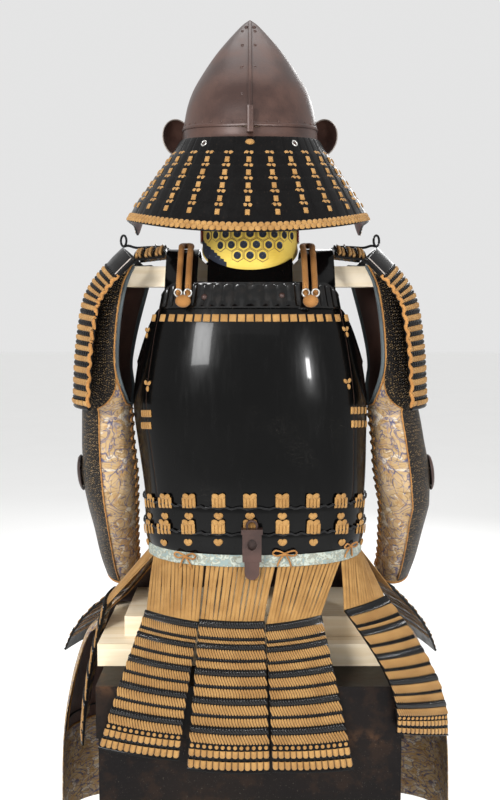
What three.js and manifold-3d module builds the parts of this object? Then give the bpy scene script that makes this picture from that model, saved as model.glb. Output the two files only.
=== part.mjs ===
// A suit of samurai armour standing on its lacquered chest, on a plain wooden stand.
// Millimetres, +Z up. The origin is the middle of the chest's underside.
// The back of the armour faces -Y, its front faces +Y and its left arm is at -X.
import * as THREE from 'three';
import Module from 'manifold-3d';

// Driving dimensions.
const WALL = 2.2;
const CLOTH = 2.4;
const GAP = 0.4;
const CHEST = { width: 464, depth: 400, top: 467, seam: 386, wall: 12, inset: 3, rim: 52 };
const PLANK = { width: 485, back: -119, front: 106, thick: 35.7 };
const BOARD = { width: 408, back: -83, front: 83, thick: 33 };
const POST = { width: 58, depth: 58 };
const BAR = { half: 219, low: 1072, high: 1105.5, depth: 34, humpIn: 92, humpOut: 126 };
const BOWL = { wall: 2.4, lengthFactor: 1.08, apex: 1506, ridge: 0.035, ridgeAngle: 9 };
const BAND = { side: 1306.5, drop: 14.5, height: 17 };
const CUIRASS = { bottom: 652, plateLow: 716, backTop: 1073, plateTop: 1046, seamAngle: 55.2, power: 2.4 };
const BELT = { top: 651.6, low: 632.6 };
const COLLAR = { radius: 77, midY: -22, low: 1088, rise: 45, top: 1172, arc: 112, wall: 2.4, pad: 1.7 };
const STRAP = { inner: 82, outer: 134 };
const SODE_HALF = 90;

const wasm = await Module();
wasm.setup();

const rad = (degrees) => degrees * Math.PI / 180;
const mix = (a, b, t) => a + (b - a) * t;
const mixPoint = (p, q, t) => [mix(p[0], q[0], t), mix(p[1], q[1], t), mix(p[2], q[2], t)];
const clamp = (x, low, high) => Math.min(high, Math.max(low, x));
const smooth = (x, low, high) => {
  const t = clamp((x - low) / (high - low), 0, 1);
  return t * t * (3 - 2 * t);
};
const spread = (from, to, count) => Array.from({ length: count + 1 }, (_, i) => mix(from, to, i / count));

// A column of a table of named rows, read at any value of its key between the rows.
function lookup(rows, key, column, value) {
  const up = rows[0][key] < rows[rows.length - 1][key];
  const list = up ? rows : [...rows].reverse();
  if (value <= list[0][key]) return list[0][column];
  for (let i = 1; i < list.length; i++) {
    if (value <= list[i][key]) {
      const t = (value - list[i - 1][key]) / (list[i][key] - list[i - 1][key]);
      const before = list[Math.max(0, i - 2)];
      const after = list[Math.min(list.length - 1, i + 1)];
      const span = list[i][key] - list[i - 1][key];
      const rise = list[i][column] - list[i - 1][column];
      const slopeIn = i > 1 ? (list[i][column] - before[column]) / (list[i][key] - before[key]) * span : rise;
      const slopeOut = after === list[i] ? rise
        : (after[column] - list[i - 1][column]) / (after[key] - list[i - 1][key]) * span;
      const t2 = t * t;
      const t3 = t2 * t;
      return (2 * t3 - 3 * t2 + 1) * list[i - 1][column] + (t3 - 2 * t2 + t) * slopeIn
        + (3 * t2 - 2 * t3) * list[i][column] + (t3 - t2) * slopeOut;
    }
  }
  return list[list.length - 1][column];
}

// A closed solid from points and triangles: shared points are merged, and faces point out.
function closedGeometry(points, triangles) {
  const keys = new Map();
  const kept = [];
  const merged = points.map((p) => {
    const key = p.map((c) => Math.round(c * 500)).join(',');
    if (!keys.has(key)) {
      keys.set(key, kept.length);
      kept.push(p);
    }
    return keys.get(key);
  });
  let faces = triangles.map((t) => t.map((i) => merged[i]))
    .filter(([a, b, c]) => a !== b && b !== c && a !== c);
  let volume = 0;
  for (const [a, b, c] of faces) {
    const [p, q, r] = [kept[a], kept[b], kept[c]];
    volume += p[0] * (q[1] * r[2] - q[2] * r[1]) + p[1] * (q[2] * r[0] - q[0] * r[2])
      + p[2] * (q[0] * r[1] - q[1] * r[0]);
  }
  if (volume < 0) faces = faces.map(([a, b, c]) => [a, c, b]);
  const geometry = new THREE.BufferGeometry();
  geometry.setAttribute('position', new THREE.Float32BufferAttribute(kept.flat(), 3));
  geometry.setIndex(faces.flat());
  return geometry;
}

// The unit normal of a surface base(u, v) at one place.
function normalAt(base, u, v, stepU, stepV) {
  const p = base(u - stepU, v);
  const q = base(u + stepU, v);
  const r = base(u, v - stepV);
  const s = base(u, v + stepV);
  const a = [q[0] - p[0], q[1] - p[1], q[2] - p[2]];
  const b = [s[0] - r[0], s[1] - r[1], s[2] - r[2]];
  const n = [a[1] * b[2] - a[2] * b[1], a[2] * b[0] - a[0] * b[2], a[0] * b[1] - a[1] * b[0]];
  const length = Math.hypot(...n) || 1;
  return n.map((c) => c / length);
}

// Triangles that close an end of a wall: rungs between its outer points and its inner ones.
function capTriangles(outline) {
  const count = outline.length;
  const turn = outline.findIndex(([v], i) => i + 1 === count || outline[i + 1][0] <= v) + 1;
  const faces = [];
  let i = 0;
  let j = count - 1;
  while (i + 1 < turn || j > turn) {
    const stepOuter = j === turn || (i + 1 < turn && outline[i + 1][0] <= outline[j - 1][0]);
    faces.push(stepOuter ? [i, i + 1, j] : [i, j - 1, j]);
    if (stepOuter) i++;
    else j--;
  }
  return faces;
}

// A wall swept through stations: at each station a closed outline of [v, distance off the surface].
// Distances count outward from the line x, y = from, or upward with up.
function sweep(base, stations, outlineAt, options = {}) {
  const { ring = false, up = false, from = [0, 0], stepU = 0.01, stepV = 0.01 } = options;
  const middle = stations[Math.floor(stations.length / 2)];
  const middleOutline = outlineAt(middle);
  const level = (middleOutline[0][0] + middleOutline[middleOutline.length - 1][0]) / 4
    + Math.max(...middleOutline.map(([v]) => v)) / 2;
  const q = base(middle, level);
  const facing = normalAt(base, middle, level, stepU, stepV);
  const toward = up ? facing[2] : facing[0] * (q[0] - from[0]) + facing[1] * (q[1] - from[1]);
  const flip = toward < 0 ? -1 : 1;
  const points = [];
  const triangles = [];
  let count = 0;
  for (const u of stations) {
    const outline = outlineAt(u);
    count = outline.length;
    for (const [v, off] of outline) {
      const p = base(u, v);
      const n = normalAt(base, u, v, stepU, stepV);
      points.push([p[0] + n[0] * off * flip, p[1] + n[1] * off * flip, p[2] + n[2] * off * flip]);
    }
  }
  const spans = ring ? stations.length : stations.length - 1;
  for (let s = 0; s < spans; s++) {
    const next = (s + 1) % stations.length;
    for (let k = 0; k < count; k++) {
      const l = (k + 1) % count;
      const [a, b, c, d] = [s * count + k, s * count + l, next * count + l, next * count + k];
      if (middleOutline[l][0] >= middleOutline[k][0]) triangles.push([a, b, c], [a, c, d]);
      else triangles.push([a, b, d], [b, c, d]);
    }
  }
  if (!ring) {
    for (const end of [0, stations.length - 1]) {
      const start = end * count;
      for (const [a, b, c] of capTriangles(outlineAt(stations[end]))) {
        triangles.push(end === 0 ? [a, c, b] : [start + a, start + b, start + c]);
      }
    }
  }
  return closedGeometry(points, triangles);
}

// The outline of a plain wall: outer points along v, then the inner ones back.
function plate(rows, outer, inner) {
  return [...rows.map((v) => [v, outer]), ...[...rows].reverse().map((v) => [v, inner])];
}

// A tube along points, with round ends left flat.
function tube(points, radius, sides, steps) {
  const curve = new THREE.CatmullRomCurve3(points.map((p) => new THREE.Vector3(...p)));
  const section = new THREE.Shape();
  for (let i = 0; i < sides; i++) {
    const a = 2 * Math.PI * i / sides;
    if (i === 0) section.moveTo(radius, 0);
    else section.lineTo(radius * Math.cos(a), radius * Math.sin(a));
  }
  section.closePath();
  return new THREE.ExtrudeGeometry(section, { steps, extrudePath: curve, bevelEnabled: false });
}

function box(x0, x1, y0, y1, z0, z1) {
  const geometry = new THREE.BoxGeometry(x1 - x0, y1 - y0, z1 - z0);
  geometry.translate((x0 + x1) / 2, (y0 + y1) / 2, (z0 + z1) / 2);
  return geometry;
}

// A three.js geometry as a solid that can be joined and cut, and back.
function toSolid(geometry) {
  const plain = geometry.index ? geometry.toNonIndexed() : geometry;
  const array = plain.getAttribute('position').array;
  const points = [];
  const triangles = [];
  for (let i = 0; i < array.length; i += 3) points.push([array[i], array[i + 1], array[i + 2]]);
  for (let i = 0; i < points.length; i += 3) triangles.push([i, i + 1, i + 2]);
  const closed = closedGeometry(points, triangles);
  return new wasm.Manifold(new wasm.Mesh({
    numProp: 3,
    vertProperties: new Float32Array(closed.getAttribute('position').array),
    triVerts: new Uint32Array(closed.index.array),
  }));
}

function fromSolid(solid) {
  const mesh = solid.getMesh();
  const geometry = new THREE.BufferGeometry();
  geometry.setAttribute('position', new THREE.BufferAttribute(new Float32Array(mesh.vertProperties), 3));
  geometry.setIndex(Array.from(mesh.triVerts));
  return geometry;
}

const join = (...geometries) => fromSolid(geometries.map(toSolid).reduce((a, b) => a.add(b)));
const cut = (geometry, ...tools) => fromSolid(tools.map(toSolid).reduce((a, b) => a.subtract(b), toSolid(geometry)));

// The materials, by name.
const finishes = {
  lacquer: { color: '#0b0b0c', roughness: 0.12, metalness: 0 },
  scale: { color: '#121213', roughness: 0.35, metalness: 0 },
  russet: { color: '#3d2723', roughness: 0.45, metalness: 0.35 },
  red: { color: '#5a1512', roughness: 0.35, metalness: 0 },
  braid: { color: '#c8893c', roughness: 0.8, metalness: 0 },
  blackCord: { color: '#161515', roughness: 0.7, metalness: 0 },
  yellow: { color: '#c9a62c', roughness: 0.75, metalness: 0 },
  brocade: { color: '#b39a72', roughness: 0.75, metalness: 0 },
  lining: { color: '#2c1712', roughness: 0.8, metalness: 0 },
  mail: { color: '#1a1918', roughness: 0.5, metalness: 0.5 },
  sash: { color: '#a9bcc2', roughness: 0.7, metalness: 0 },
  wood: { color: '#e4cfae', roughness: 0.55, metalness: 0 },
  chest: { color: '#17120f', roughness: 0.4, metalness: 0 },
};

const armour = new THREE.Group();
function add(name, geometry, finish) {
  const mesh = new THREE.Mesh(geometry, new THREE.MeshStandardMaterial(finishes[finish]));
  mesh.name = name;
  armour.add(mesh);
  return mesh;
}
const SIDES = [{ name: 'left', sign: -1 }, { name: 'right', sign: 1 }];

// The chest: a box and a deep lid that sits over its rim.
{
  const { width, depth, top, seam, wall, inset, rim } = CHEST;
  const [hx, hy] = [width / 2, depth / 2];
  const [bx, by] = [hx - inset, hy - inset];
  const [ix, iy] = [bx - wall, by - wall];
  const [rx, ry] = [hx - wall - GAP, hy - wall - GAP];
  const outer = box(-bx, bx, -by, by, 0, seam - GAP);
  const collar = box(-rx, rx, -ry, ry, seam - 30, seam + rim);
  add('chest_body', cut(join(outer, collar), box(-ix + 6, ix - 6, -iy + 6, iy - 6, wall, seam + rim + 10)), 'chest');
  const lid = box(-hx, hx, -hy, hy, seam, top);
  const hollow = box(-hx + wall, hx - wall, -hy + wall, hy - wall, seam - 10, top - wall);
  add('chest_lid', cut(lid, hollow), 'chest');
}

// The wooden stand: foot plank, board, post with a head block, and the shoulder bar.
const plankLow = CHEST.top + GAP;
const plankTop = plankLow + PLANK.thick;
const boardTop = plankTop + GAP + BOARD.thick;
add('stand_plank', box(-PLANK.width / 2, PLANK.width / 2, PLANK.back, PLANK.front, plankLow, plankTop), 'wood');
add('stand_board', box(-BOARD.width / 2, BOARD.width / 2, BOARD.back, BOARD.front, plankTop + GAP, boardTop), 'wood');

// The helmet bowl's half width by height.
const bowlRows = [
  { z: 1324, half: 111.5 }, { z: 1339, half: 108 }, { z: 1363, half: 103 }, { z: 1388, half: 94 },
  { z: 1416.5, half: 77.5 }, { z: 1445, half: 58 }, { z: 1466, half: 41 }, { z: 1487, half: 22 },
  { z: 1498, half: 11 }, { z: 1506, half: 0 },
];
const backness = (angle) => Math.max(0, Math.cos(rad(angle))) ** 1.5;
const lipZ = (angle) => 1324 - 15 * backness(angle);
function bowlBase(angle, v) {
  const z = mix(lipZ(angle), BOWL.apex, v);
  const level = mix(1324, BOWL.apex, v);
  const turn = Math.min(Math.abs(angle % 180), 180 - Math.abs(angle % 180));
  const pinch = 1 + BOWL.ridge * Math.exp(-((turn / BOWL.ridgeAngle) ** 2)) * smooth(v, 1.02, 0.6);
  const half = lookup(bowlRows, 'z', 'half', level) * pinch;
  return [half * Math.sin(rad(angle)), -half * BOWL.lengthFactor * Math.cos(rad(angle)), z];
}
const around = (count) => spread(-180, 180, count).slice(0, count);
{
  const levels = [0, 0.09, 0.215, 0.35, 0.508, 0.665, 0.8, 0.9, 0.96];
  const stations = around(30);
  const outerRows = levels.map((v) => stations.map((a) => bowlBase(a, v)));
  const innerRows = levels.slice(0, -1).map((v) => stations.map((a) => {
    const p = bowlBase(a, v);
    const f = 1 - BOWL.wall / Math.max(8, Math.hypot(p[0], p[1]));
    return [p[0] * f, p[1] * f, p[2] - (v > 0 ? BOWL.wall * v * 0.9 : 0)];
  }));
  const n = stations.length;
  const points = [...outerRows.flat(), ...innerRows.flat(), [0, 0, BOWL.apex], [0, 0, BOWL.apex - 16]];
  const apex = points.length - 2;
  const well = points.length - 1;
  const inner = outerRows.length * n;
  const triangles = [];
  for (let c = 0; c < n; c++) {
    const d = (c + 1) % n;
    for (let r = 0; r + 1 < outerRows.length; r++) {
      triangles.push([r * n + c, r * n + d, (r + 1) * n + d], [r * n + c, (r + 1) * n + d, (r + 1) * n + c]);
    }
    for (let r = 0; r + 1 < innerRows.length; r++) {
      const [a, b] = [inner + r * n, inner + (r + 1) * n];
      triangles.push([a + c, b + d, a + d], [a + c, b + c, b + d]);
    }
    triangles.push([(outerRows.length - 1) * n + c, (outerRows.length - 1) * n + d, apex]);
    triangles.push([inner + (innerRows.length - 1) * n + c, well, inner + (innerRows.length - 1) * n + d]);
    triangles.push([c, inner + c, inner + d], [c, inner + d, d]);
  }
  add('helmet_bowl', closedGeometry(points, triangles), 'russet');
}

// The band under the bowl, which the neck guard hangs from.
const bandLow = (angle) => BAND.side - BAND.drop * backness(angle);
const bandBase = (angle, v) => {
  const z = mix(bandLow(angle), lipZ(angle) - GAP, v);
  const half = 111.4 - 1.2 * v;
  return [half * Math.sin(rad(angle)), -half * BOWL.lengthFactor * Math.cos(rad(angle)), z];
};
add('helmet_band', sweep(bandBase, around(30), () => plate([0, 1], 0, -WALL), { ring: true, stepU: 1 }), 'russet');

// The seam strip up the back of the bowl, with the post at its foot.
{
  const strip = (u, v) => {
    const p = bowlBase(0, v);
    return [u, p[1], p[2]];
  };
  const rows = spread(0.015, 0.955, 9);
  const ridge = sweep(strip, [-3.2, 3.2], () => plate(rows, 3.8, 0.35), { stepU: 1 });
  const backY = -111.5 * BOWL.lengthFactor * (1 + BOWL.ridge);
  const post = box(-5.2, 5.2, backY - 9, backY - 0.6, 1298, 1337);
  add('helmet_seam_strip', join(ridge, post), 'russet');
}

// The peak over the brow.
{
  const peak = (angle, v) => {
    const p = bandBase(angle, 0.5);
    const out = 1 + 0.36 * v * Math.cos(rad(angle - 180)) ** 0.8;
    return [p[0] * out, p[1] * out, bandLow(angle) + 12 - 20 * v * v];
  };
  const shape = () => plate([0.012, 0.5, 1], WALL / 2, -WALL / 2);
  add('helmet_peak', sweep(peak, spread(122, 238, 14), shape, { stepU: 1, stepV: 0.01, up: true }), 'russet');
}

// The neck guard: five lames that widen downward, each one outside the one above.
const guardBase = (angle, v) => {
  const back = backness(angle);
  const z = mix(BAND.side - BAND.drop * back, 1175 - 35 * back, v);
  const side = mix(112.2, 187, v);
  const deep = mix(121, 178, v);
  const wide = Math.sin(rad(angle));
  const straight = Math.abs(angle) > 90 ? mix(wide, Math.sign(angle), 0.8 * clamp(v, 0, 1)) : wide;
  const tip = 15 * smooth(Math.abs(angle), 104, 117) * smooth(v, 0.83, 1);
  return [side * straight - 3 * v, -deep * Math.cos(rad(angle)), z - tip];
};
const LAMES = 5;
for (let k = 1; k <= LAMES; k++) {
  const low = k / LAMES;
  const high = (k - 1) / LAMES - 0.05;
  const off = 0.9 + (k - 1) * 2.7;
  const reach = k === 1 ? 106 : 117;
  const edges = k === LAMES
    ? [[high, off + 2], [low - 0.17, off + 2], [low - 0.06, off + 2], [low - 0.045, off + 3.6], [low, off + 3.6],
      [low, off], [low - 0.17, off], [high, off]]
    : plate([high, low], off + 2, off);
  const hooked = [[-0.045, off + 6], [0, off + 2], [low, off + 2], [low, off], [0, off], [-0.045, off + 4]];
  const shape = () => (k === 1 ? hooked : edges);
  add(`neck_guard_lame_${k}`, sweep(guardBase, spread(-reach, reach, 22), shape, { stepU: 1 }), 'scale');
}

// The round turned-back plates beside the bowl.
for (const { name, sign } of SIDES) {
  const centre = [sign * 127, 50, 1326];
  const along = [sign * 0.88, -0.475, 0];
  const facing = [sign * 0.475, 0.88, 0];
  const disc = (angle, v) => {
    const r = 31 * v;
    const dish = (7 + 5 * Math.cos(rad(angle))) * v * v;
    const [c, s] = [Math.cos(rad(angle)) * r * 0.94, Math.sin(rad(angle)) * r];
    return [centre[0] + along[0] * c - facing[0] * dish, centre[1] + along[1] * c - facing[1] * dish, centre[2] + s];
  };
  const n = 20;
  const angles = around(n);
  const points = [];
  for (const side of [1.1, -1.1]) {
    points.push([centre[0] + facing[0] * side, centre[1] + facing[1] * side, centre[2]]);
    for (const v of [0.55, 1]) {
      for (const a of angles) {
        const p = disc(a, v);
        points.push([p[0] + facing[0] * side, p[1] + facing[1] * side, p[2]]);
      }
    }
  }
  const triangles = [];
  const half = 1 + 2 * n;
  for (let c = 0; c < n; c++) {
    const d = (c + 1) % n;
    for (const [start, turn] of [[0, false], [half, true]]) {
      const faces = [[start, start + 1 + c, start + 1 + d],
        [start + 1 + c, start + 1 + n + c, start + 1 + n + d], [start + 1 + c, start + 1 + n + d, start + 1 + d]];
      triangles.push(...(turn ? faces.map(([a, b, e]) => [a, e, b]) : faces));
    }
    const [a, b] = [1 + n + c, 1 + n + d];
    triangles.push([a, half + a, half + b], [a, half + b, b]);
  }
  add(`turned_plate_${name}`, closedGeometry(points, triangles), 'russet');
}

// The cuirass: sections by height, each a rounded oblong.
const cuirassRows = [
  { z: 600, half: 172, deep: 128 }, { z: 652, half: 174, deep: 130 }, { z: 667, half: 177, deep: 132 },
  { z: 750, half: 184, deep: 136 }, { z: 815, half: 189, deep: 138 }, { z: 883, half: 193, deep: 141 },
  { z: 913, half: 190, deep: 141 }, { z: 950, half: 184, deep: 139 }, { z: 1003, half: 174, deep: 132 },
  { z: 1035, half: 166, deep: 124 }, { z: 1073, half: 158, deep: 112 }, { z: 1100, half: 150, deep: 103 },
];
const oblong = (half, deep, angle) => {
  const [s, c] = [Math.sin(rad(angle)), Math.cos(rad(angle))];
  const power = 2 / CUIRASS.power;
  return [half * Math.sign(s) * Math.abs(s) ** power, -deep * Math.sign(c) * Math.abs(c) ** power];
};
const LEAN = 8;
const cuirassBase = (angle, z) => {
  const half = lookup(cuirassRows, 'z', 'half', z);
  const deep = lookup(cuirassRows, 'z', 'deep', z);
  const [x, y] = oblong(half, deep, angle);
  return [x + LEAN * smooth(z, 900, 720), y, z];
};
const onCuirass = { stepU: 0.5, stepV: 1 };
const seam = CUIRASS.seamAngle;
const SEAM_GAP = 0.45;
const backStations = spread(-seam, seam, 15);
const sideStations = spread(seam + SEAM_GAP, 180 - seam - SEAM_GAP, 7);
const frontStations = spread(180 - seam, 180 + seam, 15);
const farStations = spread(180 + seam + SEAM_GAP, 360 - seam - SEAM_GAP, 7);
const ringStations = [...backStations, ...sideStations, ...frontStations, ...farStations];
const rowsTo = (top) => [0, 0.2, 0.42, 0.64, 0.84, 1].map((t) => mix(CUIRASS.plateLow, top, t));
const cornerTop = (angle, middle, top, drop) => {
  const t = clamp((Math.abs(angle - middle) - 40) / (seam - 40), 0, 1);
  return top - drop * (1 - Math.sqrt(1 - t * t * 0.98));
};
add('back_plate', sweep(cuirassBase, backStations,
  (a) => plate(rowsTo(cornerTop(a, 0, CUIRASS.plateTop, 10)), WALL, 0), onCuirass), 'lacquer');
add('front_plate', sweep(cuirassBase, frontStations,
  (a) => plate(rowsTo(cornerTop(a, 180, 1046, 34)), WALL, 0), onCuirass), 'lacquer');
for (const { name, sign } of SIDES) {
  const stations = sign > 0 ? sideStations : farStations;
  const armhole = (a) => {
    const t = Math.abs(a > 180 ? 360 - a : a) - seam;
    const length = 180 - 2 * seam;
    return 952 + 82 * smooth(t, 26, 0) + 56 * smooth(t, length - 28, length);
  };
  add(`side_plate_${name}`, sweep(cuirassBase, stations,
    (a) => plate(rowsTo(armhole(a)), WALL, 0), onCuirass), 'lacquer');
}

// The fluted plate across the shoulders, with its raised rim.
{
  const flutes = 20;
  const stations = spread(-seam + 1, seam - 1, flutes * 2);
  let index = 0;
  const index0 = new Map(stations.map((a) => [a, index++]));
  const outline = (a) => {
    const top = cornerTop(a, 0, CUIRASS.backTop, 30);
    const low = 1033;
    const ridge = index0.get(a) % 2 === 0 ? 0 : 1.3;
    const rim = top - 5;
    return [[low, 6], [low + 5, 4.6 + ridge], [rim, 4.6 + ridge], [top, 5.4], [top, WALL + GAP], [low, WALL + GAP]];
  };
  add('back_top_plate', sweep(cuirassBase, stations, outline, onCuirass), 'lacquer');
}

// Two waist lames, each outside the one above.
add('waist_lame_1', sweep(cuirassBase, ringStations,
  () => plate([678, 726], 2 * WALL + GAP, WALL + GAP), { ...onCuirass, ring: true }), 'lacquer');
add('waist_lame_2', sweep(cuirassBase, ringStations,
  () => plate([652, 685], 3 * WALL + 2 * GAP, 2 * WALL + 2 * GAP), { ...onCuirass, ring: true }), 'lacquer');

// The patterned waist belt just below them.
add('waist_belt', sweep(cuirassBase, ringStations,
  () => plate([BELT.low, BELT.top], 7, 5), { ...onCuirass, ring: true }), 'sash');

// The collar: a standing wall round the back and sides of the neck, quilted in hexagons.
const collarLow = (angle) => COLLAR.low + COLLAR.rise * (1 - Math.cos(rad(angle)));
const collarBase = (angle, v) => {
  const z = mix(collarLow(angle), COLLAR.top, v);
  const r = COLLAR.radius;
  return [r * Math.sin(rad(angle)), COLLAR.midY - r * Math.cos(rad(angle)), z];
};
{
  const wall = sweep(collarBase, spread(-COLLAR.arc, COLLAR.arc, 26),
    () => plate([0, 1], 0, -COLLAR.wall), { stepU: 1, from: [0, COLLAR.midY] });
  const pitch = 19.6;
  const rowPitch = 17;
  const size = 8.9;
  let solid = toSolid(wall);
  for (let row = 0; row < 4; row++) {
    const z = 1114.5 + row * rowPitch;
    for (let k = -8; k <= 8; k++) {
      const angle = (k + (row % 2) * 0.5) * pitch / COLLAR.radius * 180 / Math.PI;
      if (Math.abs(angle) > COLLAR.arc - 9 || z - 9 < collarLow(angle) + 4 || z + 9 > COLLAR.top) continue;
      const points = [];
      for (const [r, scale] of [[-1.2, 1], [COLLAR.pad, 0.86]]) {
        for (let i = 0; i < 6; i++) {
          const turn = rad(60 * i + 30);
          const a = rad(angle) + size * scale * Math.cos(turn) / COLLAR.radius;
          const R = COLLAR.radius + r;
          points.push([R * Math.sin(a), COLLAR.midY - R * Math.cos(a), z + size * scale * Math.sin(turn)]);
        }
      }
      const faces = [];
      for (let i = 0; i < 6; i++) {
        const j = (i + 1) % 6;
        faces.push([i, j, 6 + j], [i, 6 + j, 6 + i]);
      }
      for (let i = 1; i < 5; i++) faces.push([0, i + 1, i], [6, 6 + i, 6 + i + 1]);
      solid = solid.add(toSolid(closedGeometry(points, faces)));
    }
  }
  add('collar', fromSolid(solid), 'yellow');
}

// The yoke behind the neck and the two shoulder straps.
{
  const yokeBase = (x, v) => {
    const wide = Math.asin(clamp(x / (COLLAR.radius + 1.2), -0.9999, 0.9999)) * 180 / Math.PI;
    const angleAt = (z) => {
      const half = lookup(cuirassRows, 'z', 'half', z);
      return Math.asin(clamp(Math.abs(x / half) ** (CUIRASS.power / 2), 0, 1)) * 180 / Math.PI * Math.sign(x);
    };
    const z0 = CUIRASS.plateTop + 1.2;
    const z1 = CUIRASS.backTop - 2;
    if (v <= 1) {
      const z = mix(z0, z1, v);
      return cuirassBase(angleAt(z), z);
    }
    const r = COLLAR.radius + GAP + WALL + 1.4;
    const top = [x, COLLAR.midY - Math.sqrt(Math.max(0, r * r - x * x)), collarLow(wide) + 5];
    return mixPoint(cuirassBase(angleAt(z1), z1), top, v - 1);
  };
  const shape = () => plate([0, 1, 2], WALL, 0);
  add('shoulder_yoke', sweep(yokeBase, spread(-66, 66, 14), shape, { stepU: 0.5, stepV: 0.02 }), 'lacquer');
}
const ringY = (x, z) => {
  const half = lookup(cuirassRows, 'z', 'half', z);
  const deep = lookup(cuirassRows, 'z', 'deep', z);
  return deep * (1 - Math.abs(x / half) ** CUIRASS.power) ** (1 / CUIRASS.power);
};
const strapBase = (x, v) => {
  const low = ringY(x, 1050);
  const high = ringY(x, 1078);
  const reach = high / 100;
  const rows = [
    { v: 0, y: -low, z: 1047.5 }, { v: 1, y: -high, z: 1076 }, { v: 2, y: -72 * reach, z: 1108 },
    { v: 3, y: -42, z: 1126 }, { v: 4, y: -8, z: 1131 }, { v: 5, y: 28, z: 1126 },
    { v: 6, y: 72 * reach, z: 1106 }, { v: 7, y: high, z: 1076 }, { v: 8, y: low, z: 1049 },
  ];
  return [x, lookup(rows, 'v', 'y', v), lookup(rows, 'v', 'z', v)];
};
for (const { name, sign } of SIDES) {
  const base = (x, v) => {
    const p = strapBase(x, v);
    return [sign * p[0], p[1], p[2]];
  };
  const rows = [0.1, 1, 1.6, 2.3, 3, 4, 5, 5.7, 6.4, 7, 7.9];
  add(`shoulder_strap_${name}`, sweep(base, spread(STRAP.inner, STRAP.outer, 4),
    () => plate(rows, WALL, 0), { stepU: 0.5, stepV: 0.02, up: true }), 'lacquer');
}

// The post, its head block under the bowl, and the shoulder bar under the straps.
{
  const post = box(-POST.width / 2, POST.width / 2, -POST.depth / 2, POST.depth / 2, boardTop + GAP, 1300);
  const seatZ = 1398;
  const seat = lookup(bowlRows, 'z', 'half', seatZ) - BOWL.wall - 2.8;
  const head = new THREE.LatheGeometry([
    new THREE.Vector2(0, 1230), new THREE.Vector2(44, 1230), new THREE.Vector2(62, 1262),
    new THREE.Vector2(68, 1320), new THREE.Vector2(seat, seatZ - 14), new THREE.Vector2(seat, seatZ),
    new THREE.Vector2(0, seatZ + 4),
  ], 28);
  head.rotateX(Math.PI / 2);
  const mortise = box(-POST.width, POST.width, -BAR.depth / 2 - GAP, BAR.depth / 2 + GAP,
    BAR.low - GAP, BAR.high + GAP);
  add('stand_post', cut(join(post, head), mortise), 'wood');
  const hump = strapBase((BAR.humpIn + BAR.humpOut) / 2, 3.55)[2] - 3.2;
  const outline = new THREE.Shape();
  const right = [[0, BAR.high], [BAR.humpIn - 24, BAR.high], [BAR.humpIn, hump], [BAR.humpOut, hump],
    [BAR.humpOut + 6, BAR.high], [BAR.half, BAR.high], [BAR.half, BAR.low]];
  outline.moveTo(-BAR.half, BAR.low);
  for (const [x, z] of [...right].reverse().slice(1)) outline.lineTo(-x, z);
  for (const [x, z] of right.slice(1)) outline.lineTo(x, z);
  outline.closePath();
  const bar = new THREE.ExtrudeGeometry(outline, { depth: BAR.depth, bevelEnabled: false });
  bar.rotateX(Math.PI / 2);
  bar.translate(0, BAR.depth / 2, 0);
  add('stand_bar', bar, 'wood');
}

// The suspension braids and the tassets. Along the belt, s is the distance from the middle of the back,
// positive to the right. Each row gives the middle, turn and tilt of the top and hem of the lames.
const TASSET = { pitch: 107, first: -22, beltHalf: 50, wall: 2.6, step: 2.4, gapAtBelt: 3 };
const tassets = [
  { name: 'rear_left', k: -1, hx: -118, hy: -184, hz: 569, turn: -12, tilt: 9, half: 41,
    ex: -166, ey: -226, ez: 372, eturn: -6, etilt: 6, ehalf: 60, bow: 5, swell: 7 },
  { name: 'rear', k: 0, hx: -27, hy: -192, hz: 565, turn: 0, tilt: 2, half: 48,
    ex: -32, ey: -228, ez: 347, eturn: 0, etilt: 2, ehalf: 61, bow: 6, swell: 7 },
  { name: 'rear_right', k: 1, hx: 66, hy: -187, hz: 564, turn: 8, tilt: -7, half: 42,
    ex: 94, ey: -226, ez: 347, eturn: 2, etilt: -1, ehalf: 60, bow: 5, swell: 7 },
  { name: 'right_rear', k: 2, hx: 181, hy: -138, hz: 574, turn: 31, tilt: -8, half: 40,
    ex: 264, ey: -188, ez: 386, eturn: 34, etilt: 17, ehalf: 54, bow: 4, swell: 42 },
  { name: 'right_front', k: 3, hx: 236, hy: 78, hz: 547, turn: 112, tilt: 0, half: 44,
    ex: 326, ey: 194, ez: 404, eturn: 119, etilt: -9, ehalf: 57, bow: 4, swell: 13 },
  { name: 'front_right', k: 4, hx: 82, hy: 184, hz: 563, turn: 166, tilt: 0, half: 46,
    ex: 100, ey: 284, ez: 362, eturn: 170, etilt: 0, ehalf: 58, bow: 5, swell: 7 },
  { name: 'left_side', k: -2, hx: -240, hy: -8, hz: 549, turn: -92, tilt: 2, half: 45,
    ex: -283, ey: -32, ez: 325, eturn: -84, etilt: 3, ehalf: 58, bow: 5, swell: 7 },
  { name: 'left_front', k: -3, hx: -208, hy: 116, hz: 538, turn: -128, tilt: 3, half: 46,
    ex: -322, ey: 210, ez: 398, eturn: -127, etilt: 8, ehalf: 57, bow: 4, swell: 22 },
  { name: 'front_left', k: -4, hx: -32, hy: 194, hz: 563, turn: 180, tilt: 0, half: 46,
    ex: -34, ey: 288, ez: 362, eturn: 180, etilt: 0, ehalf: 58, bow: 5, swell: 7 },
];

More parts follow.
